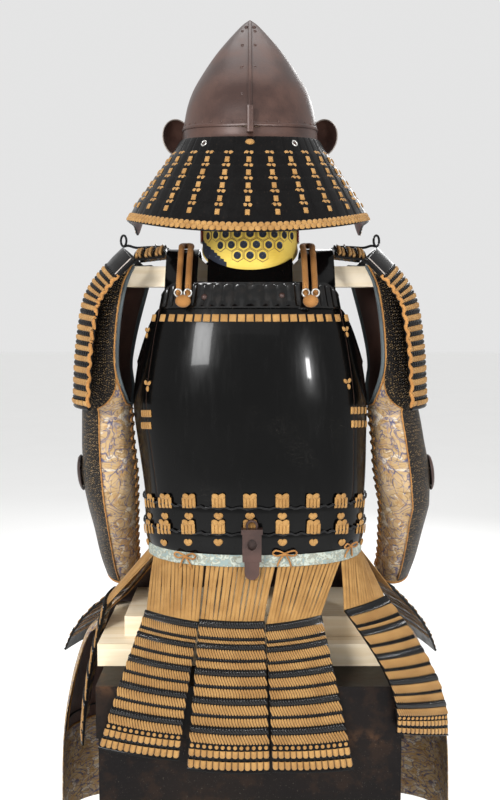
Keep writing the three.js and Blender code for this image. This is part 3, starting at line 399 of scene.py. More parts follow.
def black_scale_finish():
    p = Paint("black_scale", roughness=0.3, Specular_IOR_Level=0.08, Coat_Weight=0.06, Coat_Roughness=0.1)
    cloud = p.noise(p.place(), 60.0, 4.0)
    fine = p.noise(p.scaled(p.place(), (1, 1, 0.2)), 500.0, 2.0)
    worn = p.blend(fine.ramp(0.62, 0.78) * 0.5, tint("#0b0a0a"), tint("#2a201a"))
    return p.finish(worn, cloud.ramp(0.3, 0.7) * 0.2 + 0.2, cloud * 0.6 + fine * 0.2, 0.0006, 0.35)


def gloss_black_finish(name="gloss_black", shine=0.07, coat=0.12):
    p = Paint(name, roughness=0.12, Specular_IOR_Level=shine, Coat_Weight=coat, Coat_Roughness=0.05)
    cloud = p.noise(p.place(), 90.0, 3.0)
    return p.finish(p.blend(cloud.ramp(0.4, 0.7), tint("#060606"), tint("#110e0c")), cloud * 0.2 + 0.06)


# Flat braids side by side, one to a column of the cut; painted shade darkens the line between them.
COLUMN = 0.0045


def lace_finish(column):
    p = Paint("gold_lace", roughness=0.75, Specular_IOR_Level=0.25, Sheen_Weight=0.12, Sheen_Roughness=0.4)
    uv = p.cut()
    x, y = p.part(uv, 0) / column, p.part(uv, 1)
    edge = abs(x % 1.0 - 0.5) * 2.0
    rib = abs((x * 2.0) % 1.0 - 0.5) * 2.0
    plait = (y / 0.0013 + rib * 1.1).waves(1.0)
    drift = p.noise(p.place(), 30.0, 4.0)
    fibre = p.noise(p.place(), 900.0, 2.0)
    shade = p.blend(drift.ramp(0.3, 0.7), tint("#9a7341"), tint("#b08851"))
    # Painted shade: darker in the plait's grooves and, most strongly, along the line between columns; the fibre noise
    # is the lace's own uneven colour.
    shade = p.coats(shade, ((1 - plait) * 0.25, "#5f3b17"), (fibre.ramp(0.35, 0.8) * 0.2, "#5f3b17"),
                           (edge.ramp(0.62, 0.98) * 0.85, "#2b1808"))
    return p.finish(shade, relief=plait * 0.6 + fibre * 0.3 - edge.ramp(0.6, 1.0), depth=0.0007, strength=0.8)


def lacquer_finish():
    p = Paint("lacquer", roughness=0.2, Specular_IOR_Level=0.09, Coat_Weight=0.13, Coat_Roughness=0.05)
    streak = p.noise(p.scaled(p.place(), (1.0, 1.0, 0.12)), 160.0, 3.0)
    wide = p.noise(p.place(), 7.0, 3.0)
    scratch = p.noise(p.scaled(p.place(), (1.0, 0.3, 3.4)), 140.0, 1.0, 0.4, 1.2)
    line = scratch.near(0.5, 140.0)
    keep = p.noise(p.place(), 9.0, 2.0).ramp(0.56, 0.66)
    color = p.blend(line * keep * 0.35, tint("#040404"), tint("#5a554e"))
    rough = streak.ramp(0.4, 0.8) * 0.1 + 0.2 + line * keep * 0.2
    return p.finish(color, rough, wide, 0.003, 0.18)


def russet_finish(name="russet", base="#36241f", light="#4b342c"):
    p = Paint(name, roughness=0.42, metallic=0.2, Specular_IOR_Level=0.4, Coat_Weight=0.08, Coat_Roughness=0.3)
    cloud = p.noise(p.place(), 22.0, 5.0)
    pit = p.noise(p.place(), 420.0, 3.0)
    color = p.blend(cloud.ramp(0.35, 0.7), tint(base), tint(light))
    color = p.coats(color, (pit.ramp(0.55, 0.75) * 0.4, "#1f1512"))
    return p.finish(color, cloud.ramp(0.3, 0.7) * 0.16 + 0.34, pit * 0.6 + cloud, 0.0008, 0.3)


def wood_finish():
    p = Paint("wood", roughness=0.55)
    at = p.place()
    ring = p.noise(p.scaled(at, (0.6, 9.0, 9.0)), 9.0, 4.0, 0.5, 0.6)
    grain = p.noise(p.scaled(at, (0.5, 30.0, 30.0)), 30.0, 3.0)
    color = p.blend(ring.ramp(0.4, 0.62), tint("#f1e2c8"), tint("#e8d5b3"))
    color = p.coats(color, (grain.ramp(0.5, 0.8) * 0.15, "#cfb184"))
    return p.finish(color, grain * 0.15 + 0.45, grain, 0.0004, 0.25)


def chest_finish():
    p = Paint("chest_lacquer", roughness=0.36, Specular_IOR_Level=0.1, Coat_Weight=0.04, Coat_Roughness=0.2)
    at = p.place()
    x, y, z = p.part(at, 0), p.part(at, 1), p.part(at, 2)
    side = (abs(x) - 0.216).most(abs(y) - 0.184).ramp(0.0, 0.016)
    top = (z - 0.445).ramp(0.0, 0.024)
    seam = z.near(0.386, 60.0)
    rubbed = p.noise(at, 34.0, 6.0, 0.62)
    patch = p.noise(at, 6.0, 3.0)
    worn = ((side * top).most(seam * 0.8) * patch.ramp(0.42, 0.6) + 0.16) * rubbed.ramp(0.46, 0.6)
    grain = p.noise(p.scaled(at, (1.0, 1.0, 8.0)), 60.0, 4.0)
    speck = p.noise(at, 520.0, 2.0).ramp(0.68, 0.74)
    color = p.blend(patch.ramp(0.35, 0.7), tint("#080505"), tint("#120c09"))
    color = p.coats(color, (worn.least(1.0), "#3c2819"), (speck * 0.16, "#8d8377"))
    return p.finish(color, rubbed * 0.35 + 0.22, grain * 0.4 + rubbed * 0.8, 0.0012, 0.4)


def mail_finish():
    p = Paint("mail", roughness=0.42, metallic=0.3, Specular_IOR_Level=0.3)
    uv = p.cut()
    x, y = p.part(uv, 0) / 0.0062, p.part(uv, 1) / 0.0056
    half = (y % 2.0 > 1.0) * 0.5
    a, b = (x + half) % 1.0 - 0.5, y % 1.0 - 0.5
    span = (a * a + b * b) ** 0.5
    ring = span.near(0.33, 6.5)
    spot = p.noise(p.place(), 330.0, 2.0)
    color = p.blend(ring, tint("#060505"), tint("#3d3732"))
    color = p.coats(color, (ring * spot.ramp(0.5, 0.62), "#a98b60"))
    return p.finish(color, relief=ring + spot * 0.2, depth=0.0016, strength=1.0)


def brocade_finish():
    p = Paint("brocade", roughness=0.75, Specular_IOR_Level=0.12, Sheen_Weight=0.02)
    uv = p.cut()
    drift = p.noise(uv, 30.0, 2.0)

    def scrolls(shift, scale, twist, level, slope):
        moved = p.node("ShaderNodeVectorMath", {"operation": "ADD"}, p.scaled(uv, (1.0, 1.25, 1.0)), shift)
        return p.noise(moved, scale, 1.0, 0.5, twist).near(level, slope)

    cloud = scrolls((0.0, 0.0, 0.0), 22.0, 2.6, 0.5, 26.0)
    wave = scrolls((3.1, 1.7, 0.4), 31.0, 3.0, 0.47, 28.0)
    stem = scrolls((7.7, 4.2, 1.1), 25.0, 2.4, 0.53, 22.0)
    fill = p.noise(uv, 23.0, 2.0, 0.5, 2.0).ramp(0.54, 0.58)
    light = p.noise(p.scaled(uv, (1.0, 1.3, 1.0)), 31.0, 1.0, 0.5, 2.0).ramp(0.6, 0.64)
    thread, warp = p.part(uv, 1).waves(0.0011), p.part(uv, 0).waves(0.0009)
    color = p.blend(drift.ramp(0.3, 0.7), tint("#a98d64"), tint("#baa07a"))
    color = p.coats(color, (fill * 0.6, "#a17c4c"), (light * 0.7, "#cdc4b3"), (stem * 0.7, "#6a4e30"),
                           (wave * 0.6, "#5f6b8c"), (cloud * 0.9, "#33406a"), (thread * 0.1, "#5c4b32"))
    return p.finish(color, relief=thread * 0.4 + warp * 0.3 + cloud * 0.5 + wave * 0.5, depth=0.0005, strength=0.45)


def plain_cloth(name, base, light, dark, roughness=0.85, weave=0.0012, amount=0.35):
    p = Paint(name, roughness=roughness, Sheen_Weight=0.12)
    uv = p.cut()
    weft, warp = p.part(uv, 1).waves(weave), p.part(uv, 0).waves(weave)
    cloud = p.noise(p.place(), 14.0, 4.0)
    slub = p.noise(p.scaled(uv, (60.0, 900.0, 1.0)), 1.0, 3.0)
    color = p.blend(cloud.ramp(0.3, 0.7), tint(base), tint(light))
    color = p.coats(color, ((weft * warp * 0.5 + slub.ramp(0.4, 0.8) * 0.5) * amount, dark))
    return p.finish(color, relief=weft * 0.5 + warp * 0.5, depth=0.0006, strength=0.5)


def sash_finish():
    p = Paint("sash", roughness=0.75, Specular_IOR_Level=0.2, Sheen_Weight=0.04)
    uv = p.cut()
    figure = p.noise(uv, 120.0, 2.0, 0.5, 1.6)
    edge = figure.near(0.5, 16.0)
    weft = p.part(uv, 1).waves(0.001)
    color = p.blend(figure.ramp(0.4, 0.6), tint("#a9b0a6"), tint("#82918f"))
    color = p.coats(color, (edge * 0.7, "#7b6a4a"))
    return p.finish(color, relief=weft * 0.5 + edge, depth=0.0006, strength=0.5)


def pattern_cloth():
    p = Paint("navy_cloth", roughness=0.8)
    dots = p.cells(p.scaled(p.cut(), (1, 1, 0)), 150.0)
    weft = p.part(p.cut(), 1).waves(0.001)
    color = p.blend((1 - dots.ramp(0.12, 0.2)) * 0.7, tint("#121a2a"), tint("#66727e"))
    return p.finish(color, relief=weft, depth=0.0005, strength=0.4)


def metal_finish():
    p = Paint("silver", roughness=0.35, metallic=0.9)
    dull = p.noise(p.place(), 300.0, 3.0)
    return p.finish(p.blend(dull.ramp(0.4, 0.7), tint("#c9c8c4"), tint("#7f7d79")), dull * 0.3 + 0.2)


GOLD = braid_finish("gold_braid")
# The rope's `groove` amount of 0.7 is strong painted shade in the grooves of its twist.
ROPE = braid_finish("gold_rope", "#b07c42", "#93622e", "#40240c", 0.0042, 0.7)
PIPING = braid_finish("orange_piping", "#b98549", "#9c6b36", "#4f3014", 0.0018)
BLACK_CORD = braid_finish("black_cord", "#18181a", "#0c0c0d", "#040404", 0.0014)
SCALE = black_scale_finish()
LACQUER = lacquer_finish()
GLOSS = gloss_black_finish()
TOPS = gloss_black_finish("scale_tops", 0.22, 0.2)
LACE = lace_finish(COLUMN)
RUSSET = russet_finish()
DARK_IRON = russet_finish("dark_iron", "#2b1d19", "#46302a")
RED_BROWN = russet_finish("red_brown", "#47201b", "#6a302a")
RIM = russet_finish("pale_rim", "#8a7f78", "#b3aaa2")
WOOD = wood_finish()
CHEST = chest_finish()
MAIL = mail_finish()
BROCADE = brocade_finish()
LINING = plain_cloth("brown_lining", "#39221a", "#4d3025", "#1b0f0b")
BLUE_PIPING = plain_cloth("blue_piping", "#2c3438", "#4a5457", "#191e21", 0.75, 0.0016)
YELLOW = plain_cloth("yellow_cloth", "#c7a638", "#dcc158", "#7a5f18", 0.8, 0.0013)
SASH = sash_finish()
NAVY = pattern_cloth()
SILVER = metal_finish()
RED = russet_finish("red_lacquer", "#5a1713", "#742019")


# The stage: a pale floor, an even studio light and five lamps, each with its place, aim, size and power.
STUDIO_LIGHT = 0.78


def make_stage():
    mesh = bpy.data.meshes.new("floor")
    mesh.from_pydata([(-40, -40, 0), (40, -40, 0), (40, 40, 0), (-40, 40, 0)], [], [(0, 1, 2, 3)])
    p = Paint("pale_floor", roughness=0.9)
    p.finish(p.blend(p.noise(p.place(), 2.0), tint("#fdfdfc"), tint("#f9f9f8")))
    mesh.materials.append(p.material)
    floor = add("floor", mesh)
    world = bpy.data.worlds.new("studio")
    bpy.context.scene.world = world
    world.use_nodes = True
    world.node_tree.nodes["Background"].inputs[0].default_value = (1, 1, 1, 1)
    world.node_tree.nodes["Background"].inputs[1].default_value = STUDIO_LIGHT
    bpy.context.scene.view_settings.view_transform = "Standard"
    for name, spot, aim, size, power in (
            ("key", (-1.35, -2.3, 1.75), (0, 0, 1.0), (0.75, 0.85), 74),
            ("fill", (1.6, -2.1, 1.25), (0, 0, 0.9), (0.17, 0.36), 36),
            ("soft", (-0.2, -3.2, 2.6), (0, 0, 0.7), (2.4, 1.2), 6),
            ("top", (0.0, 0.3, 3.2), (0, 0, 1.0), (1.8, 1.4), 22),
            ("front", (0.6, 2.6, 2.0), (0, 0, 0.9), (1.4, 1.4), 30)):
        data = bpy.data.lights.new(name, "AREA")
        data.shape = "RECTANGLE"
        data.size, data.size_y = size
        data.energy = power
        lamp = add(name, data)
        lamp.location = spot
        way = [aim[i] - spot[i] for i in range(3)]
        flat = math.hypot(way[0], way[1])
        lamp.rotation_euler = (math.pi / 2 + math.atan2(way[2], flat), 0, math.atan2(way[1], way[0]) - math.pi / 2)


make_stage()
SIDES = (("left", -1), ("right", 1))


# The helmet bowl, its band, seam strip, peak, rivets and the turned plates.
BOWL = rows("z half", (1324, 111.5), (1339, 108), (1363, 103), (1388, 94), (1416.5, 77.5), (1445, 58),
            (1466, 41), (1487, 22), (1498, 11), (1506, 0))
BOWL_LONG, APEX, FOOT, FOOT_DROP, BAND_LOW, BAND_DROP = 1.08, 1506, 1324, 15, 1306.5, 14.5
BOWL_STEP, BAND_STEP = (0.5, 0.004), (0.5, 0.01)
TURNED_AT, TURNED_RADIUS = (127, 50, 1326), 31


def backness(angle):
    return np.maximum(0, np.cos(np.radians(angle))) ** 1.5


def bowl_foot(angle):
    return FOOT - FOOT_DROP * backness(angle)


def bowl_base(angle, v):
    z = mix(bowl_foot(angle), APEX, v)
    turn = np.abs((angle + 90) % 180 - 90)
    pinch = 1 + 0.035 * bell(turn, 0, 9) * smooth(1.02 - v, 0, 0.42)
    half = lookup(BOWL, "z", "half", mix(FOOT, APEX, v)) * pinch
    a = np.radians(angle)
    return stack(half * np.sin(a), -half * BOWL_LONG * np.cos(a), z)


def band_low(angle):
    return BAND_LOW - BAND_DROP * backness(angle)


def band_base(angle, v):
    z = mix(band_low(angle), bowl_foot(angle) - 0.4, v)
    half = 111.4 - 1.2 * v
    a = np.radians(angle)
    return stack(half * np.sin(a), -half * BOWL_LONG * np.cos(a), z)


def on_bowl(px, py):
    y = -118.0
    for _ in range(6):
        z = height_at(py, y)
        x = across_at(px, y, z)
        v = np.clip((z - 1309) / (APEX - 1309), 0, 0.98)
        half = lookup(BOWL, "z", "half", mix(FOOT, APEX, v)) * 1.01
        y = -BOWL_LONG * math.sqrt(max(half ** 2 - x ** 2, 1))
    return np.array([x, y, z])


def rivet(piece, spot, out, size, lift, finish=0):
    out = unit(np.asarray(out, float))
    right = unit(np.cross([0, 0, 1], out))
    pad(piece, np.asarray(spot) + out * lift, right, np.cross(out, right), size, size, size * 0.34, finish, power=2)


def make_helmet():
    piece = Piece()
    angle = np.linspace(-180, 180, 145)[None, :-1]
    v = np.concatenate([np.linspace(0, 0.9, 40), [0.93, 0.96, 0.975, 0.985]])[:, None]
    wall(piece, bowl_base, angle, v, 0, -2.2, BOWL_STEP, wrap=True, inside=1)
    cap = bowl_base(angle, np.array([[0.984], [0.995], [0.9995]]))
    piece.patch(cap, 0, True)
    lip = np.linspace(0.004, 0.03, 5)[:, None]
    wall(piece, bowl_base, angle, lip, 1.2 - 60 * np.abs(lip - 0.017), 0, BOWL_STEP, wrap=True)
    for px, py in ((250, 21), (246.4, 25), (254.2, 25)):
        spot = on_bowl(px, py + 2)
        spot[1] = min(spot[1], -3)
        rivet(piece, spot, (0.1 * (px - 250), -1, 0.8), 7, 0)
    for py in (31, 45, 67, 94, 120):
        for px in (242.6 - py * 0.008, 255.0):
            spot = on_bowl(px, py)
            rivet(piece, spot, (spot[0] * 0.6, spot[1], 25), 5.2, 0)
    for k in [*range(-9, -1), *range(1, 10)]:
        a = math.radians(k * 9.4 + 4.7)
        rivet(piece, bowl_base(np.degrees(a), 0.04), (math.sin(a), -math.cos(a), 0.1), 3.4, 0.1)
    piece.make("helmet_shell", [RUSSET, DARK_IRON], ["helmet_bowl"])

    piece = Piece()
    wall(piece, band_base, angle, np.linspace(0, 1, 6)[:, None], np.array([[1.2, 0.2, 0, 0, 0.1, 0]]).T, -2.2,
         BAND_STEP, wrap=True)
    piece.make("helmet_rim_band", [RUSSET], ["helmet_band"])

    def strip(u, v):
        p = bowl_base(np.zeros_like(v), v)
        return stack(u, p[..., 1], p[..., 2])

    piece = Piece()
    u = np.linspace(-3.2, 3.2, 9)[None, :]
    rounded = 1.2 + 2.6 * np.sqrt(np.maximum(1 - (u / 3.3) ** 2, 0))
    wall(piece, strip, u, np.linspace(0.015, 0.955, 60)[:, None], rounded, 0.3, (0.4, 0.004))
    back = -111.5 * BOWL_LONG * 1.035
    ring = np.linspace(-1, 1, 9)
    post = np.array([[(5.2 * x, back - 8.6 - 1.8 * math.sqrt(max(1 - x * x, 0)), z) for x in ring]
                     for z in np.linspace(1298, 1337, 8)])
    piece.patch(post)
    for edge in (post[:, 0], post[:, -1], post[0], post[-1]):
        piece.patch(np.stack([edge, edge * [1, 0, 1] + [0, back + 1, 0]]))
    piece.make("helmet_back_strip", [RUSSET], ["helmet_seam_strip"])

    def peak(angle, v):
        p = band_base(angle, 0.5 + 0 * v)
        out = 1 + 0.36 * v * np.maximum(np.cos(np.radians(angle - 180)), 0) ** 0.8
        return stack(p[..., 0] * out, p[..., 1] * out, band_low(angle) + 12 - 20 * v * v)

    piece = Piece()
    v = np.linspace(0.012, 1, 14)[:, None]
    wall(piece, peak, np.linspace(122, 238, 60)[None, :], v, 1.1 + 1.4 * smooth(v, 0.93, 0.98), -1.1, (1, 0.01), "up")
    piece.make("helmet_brow_peak", [RUSSET], ["helmet_peak"])

    for name, sign in SIDES:
        centre = np.array(TURNED_AT) * [sign, 1, 1]
        along = np.array([sign * 0.88, -0.475, 0])
        face = np.array([sign * 0.475, 0.88, 0])
        angle = np.linspace(-math.pi, math.pi, 49)[None, :-1]
        v = np.array([0.001, 0.3, 0.55, 0.75, 0.88, 0.94, 0.97, 1.0])[:, None]
        dish = (7 + 5 * np.cos(angle)) * v * v
        at = (centre + along * (np.cos(angle) * TURNED_RADIUS * v * 0.94)[..., None] - face * dish[..., None]
              + np.array([0, 0, 1]) * (np.sin(angle) * TURNED_RADIUS * v)[..., None])
        bead = 1.1 + 1.1 * bell(v, 0.97, 0.03)
        piece = Piece()
        finish = np.array([0, 0, 0, 0, 0, 2, 2])[:, None]
        rear, front = at - face * bead[..., None], at + face * bead[..., None]
        piece.patch(rear, finish, True)
        piece.patch(front, np.where(finish == 2, 2, 1), True)
        piece.patch(np.stack([rear[-1], front[-1]]), 2, True)
        for k in range(3):
            a = -2.2 + k * 0.6
            spot = centre + along * (math.cos(a) * 14) + np.array([0, 0, math.sin(a) * 20]) - face * 1.5
            rivet(piece, spot, -face, 4, 0)
        piece.make(f"helmet_turned_plate_{name}", [RUSSET, RED_BROWN, RIM], [f"turned_plate_{name}"])


make_helmet()


# The neck guard: black scale lames laced with gold braid.
def guard_base(angle, v):
    back = backness(angle)
    z = mix(BAND_LOW - BAND_DROP * back, 1175 - 35 * back, v)
    side, deep = mix(112.2, 187, v), mix(121, 178, v)
    wide = np.sin(np.radians(angle))
    straight = np.where(np.abs(angle) > 90, mix(wide, np.sign(angle), 0.8 * np.clip(v, 0, 1)), wide)
    tip = 15 * smooth(np.abs(angle), 104, 117) * smooth(v, 0.83, 1)
    return stack(side * straight - 3 * v, -deep * np.cos(np.radians(angle)), z - tip)


# A spot on a face, moved out by `off`, with the directions right and up along the face.
def spot_on(base, u, v, off, steps, sign=1):
    u, v = np.array([[float(u)]]), np.array([[float(v)]])
    at, n = base(u, v)[0, 0], facing(base, u, v, *steps)[0, 0] * sign
    up = unit(base(u, v - steps[1])[0, 0] - base(u, v + steps[1])[0, 0])
    right = np.cross(up, n)
    return at + n * off, right, up


# The same, looking away from the armour's middle line.
def spot_outside(base, u, v, off, steps):
    spot, right, up = spot_on(base, u, v, off, steps)
    if np.dot(np.cross(right, up)[:2], spot[:2]) < 0:
        spot, right, up = spot_on(base, u, v, off, steps, -1)
    return spot, right, up


def heart(piece, spot, right, up, wide, high, thick, finish=0):
    for side in (-1, 1):
        pad(piece, spot + right * side * wide * 0.24, right, up, wide * 0.6, high, thick, finish, side * 24, 2, 7)


# Where each lame starts and ends, how far it stands out, and the turn from one column of lacing to the next.
GUARD_EDGES = [0, 0.2, 0.343, 0.486, 0.63, 0.77, 1.0]
GUARD_LIFTS = [2.9 + 2.15 * k for k in range(6)]
GUARD_REACH, FIRST_REACH, COLUMN_TURN, HEM_TURN = 117, 106, 13.9, 2.8
GUARD_STEP = (1, 0.01)


def make_neck_guard():
    piece = Piece()
    for k in range(6):
        reach = FIRST_REACH if k == 0 else GUARD_REACH
        angle = np.linspace(-reach, reach, 261)[None, :]
        step = (angle / 7.0 + 0.5) % 1.0
        wave = 0.5 - 0.5 * np.cos(6 * math.pi * step)
        high = GUARD_EDGES[k] - (0.0 if k == 0 else 0.022) - 0.012 * wave * (k > 0)
        t = np.linspace(0, 1, 9)[:, None]
        v = mix(high, GUARD_EDGES[k + 1], t) + 0 * angle
        relief = 0.5 * (1 - step)
        groove = -0.8 * bell(np.minimum(step, 1 - step), 0, 0.045)
        lip = 0.5 * np.sqrt(np.clip(1 - ((t - 0.5) * 2) ** 8, 0, 1))
        outer = GUARD_LIFTS[k] + relief + groove + lip
        wall(piece, guard_base, angle, v, outer, GUARD_LIFTS[k] - 2, GUARD_STEP, inside=1)
        brown = (np.abs(angle[0, :-1]) > 112.5) & (k >= 4)
        piece.marks[-6] = np.tile(np.where(brown, 2, 0), len(t) - 1)
    angle = np.linspace(-GUARD_REACH, GUARD_REACH, 200)
    rim = guard_base(angle, np.ones_like(angle)) + stack(0, 0, -1.0 + 0 * angle)
    n = turned(facing(guard_base, angle, np.ones_like(angle), *GUARD_STEP), rim[:, :2])
    cord(piece, (rim + n * 13.4)[::3], 1.7, 0, 6, step=8)
    piece.make("neck_guard_lames", [SCALE, RED_BROWN, RED_BROWN],
               [f"neck_guard_lame_{k}" for k in range(1, 6)])

    braid = Piece()
    for column in range(-8, 9):
        angle = column * COLUMN_TURN - 0.4
        for row in range(5):
            for v, kind in ((0.18 + 0.1425 * row, "heart"), (0.253 + 0.1425 * row, "block")):
                level = sum(v > e for e in GUARD_EDGES[1:])
                spot, right, up = spot_outside(guard_base, angle, v, GUARD_LIFTS[level] + 0.6, GUARD_STEP)
                if kind == "block":
                    pad(braid, spot, right, up, 7.4, 9.2, 2.3)
                else:
                    heart(braid, spot, right, up, 14.5, 8.8, 2.6)
    spot, right, up = spot_outside(guard_base, 0, 0.06, 3.2, GUARD_STEP)
    pad(braid, spot, right, up, 14, 9.5, 4, power=2, n=9)
    for row, v in enumerate((0.945, 0.982)):
        for k in range(-41, 42):
            spot, right, up = spot_outside(guard_base, (k + 0.5 * row) * HEM_TURN, v, GUARD_LIFTS[5] + 0.7, GUARD_STEP)
            pad(braid, spot, right, up, 9.6, 8.8, 2.4, turn=14, power=2, n=6)
    braid.make("neck_guard_lacing", [GOLD])

    ring = Piece()
    for px in (206, 292):
        angle = math.degrees(math.asin(np.clip((px - 249.5) * 1.55 / 116, -1, 1)))
        spot, right, up = spot_outside(guard_base, angle, 0.075, 4.0, GUARD_STEP)
        cord(ring, ring_round(spot, right * 4.2, up * 4.2, 12), 1.3, 0, 8, step=1.5, wrap=True)
        pad(ring, spot - np.cross(right, up) * 0.6, right, up, 7, 7, 0.8, 1, power=2)
    ring.make("neck_guard_grommets", [SILVER, DARK_IRON])


make_neck_guard()


# The cuirass.
CUIRASS = rows("z half deep", (600, 172, 128), (652, 174, 130), (667, 177, 132), (750, 184, 136), (815, 189, 138),
               (883, 193, 141), (913, 190, 141), (950, 184, 139), (1003, 174, 132), (1035, 166, 124),
               (1073, 158, 112), (1100, 150, 103))
POWER, LEAN, SEAM, SEAM_GAP, WALL = 2.4, 8, 55.2, 0.45, 2.2
CUIRASS_STEP = (0.5, 1)
PLATE_FOOT, PLATE_TOP, FLUTED_FOOT, FLUTED_TOP, FLUTES, RIVET_OUT = 716, 1046, 1033, 1073, 20, 5.2
# The lower and the upper edge of each waist lame, and how far it stands out.
WAIST_LAMES = (678, 726, 4.8), (652, 685, 7.4)


def oblong(half, deep, angle):
    s, c = np.sin(np.radians(angle)), np.cos(np.radians(angle))
    return (half * np.sign(s) * np.abs(s) ** (2 / POWER), -deep * np.sign(c) * np.abs(c) ** (2 / POWER))


def leaning(z):
    return LEAN * smooth(z, 900, 720)


def cuirass_base(angle, z):
    x, y = oblong(lookup(CUIRASS, "z", "half", z), lookup(CUIRASS, "z", "deep", z), angle)
    return stack(x + leaning(z), y, z)


def ring_y(x, z):
    half, deep = lookup(CUIRASS, "z", "half", z), lookup(CUIRASS, "z", "deep", z)
    return deep * np.maximum(1 - np.abs(x / half) ** POWER, 0) ** (1 / POWER)


def on_cuirass(px, py, off):
    y = -135.0
    for _ in range(8):
        z = height_at(py, y)
        x = across_at(px, y, z)
        inner = x - leaning(z)
        half = float(lookup(CUIRASS, "z", "half", z))
        y = -float(ring_y(np.clip(inner, -half * 0.995, half * 0.995), z)) - off
    angle = math.degrees(math.asin(np.clip(abs(inner / half), 0, 0.995) ** (POWER / 2))) * np.sign(inner)
    return spot_outside(cuirass_base, angle, z, off, (0.5, -1.0))


def corner_top(angle, middle, top, drop):
    t = np.clip((np.abs(angle - middle) - 40) / (SEAM - 40), 0, 1)
    return top - drop * (1 - np.sqrt(1 - t * t * 0.98))


def plate_piece(name, node, low_angle, high_angle, top, columns=110, bead=0.0):
    angle = np.linspace(low_angle, high_angle, columns)[None, :]
    t = np.concatenate([np.linspace(0, 0.96, 34), [0.975, 0.985, 0.993, 1.0]])[:, None]
    z = mix(PLATE_FOOT, top(angle), t)
    outer = WALL + bead * bell(t, 0.985, 0.012)
    edge = np.minimum(angle - low_angle, high_angle - angle)
    outer = outer - 0.5 * bell(edge, 0, 0.5)
    piece = Piece()
    wall(piece, cuirass_base, angle, z, outer, 0, CUIRASS_STEP, inside=1)
    return piece.make(name, [LACQUER, LINING], [node])


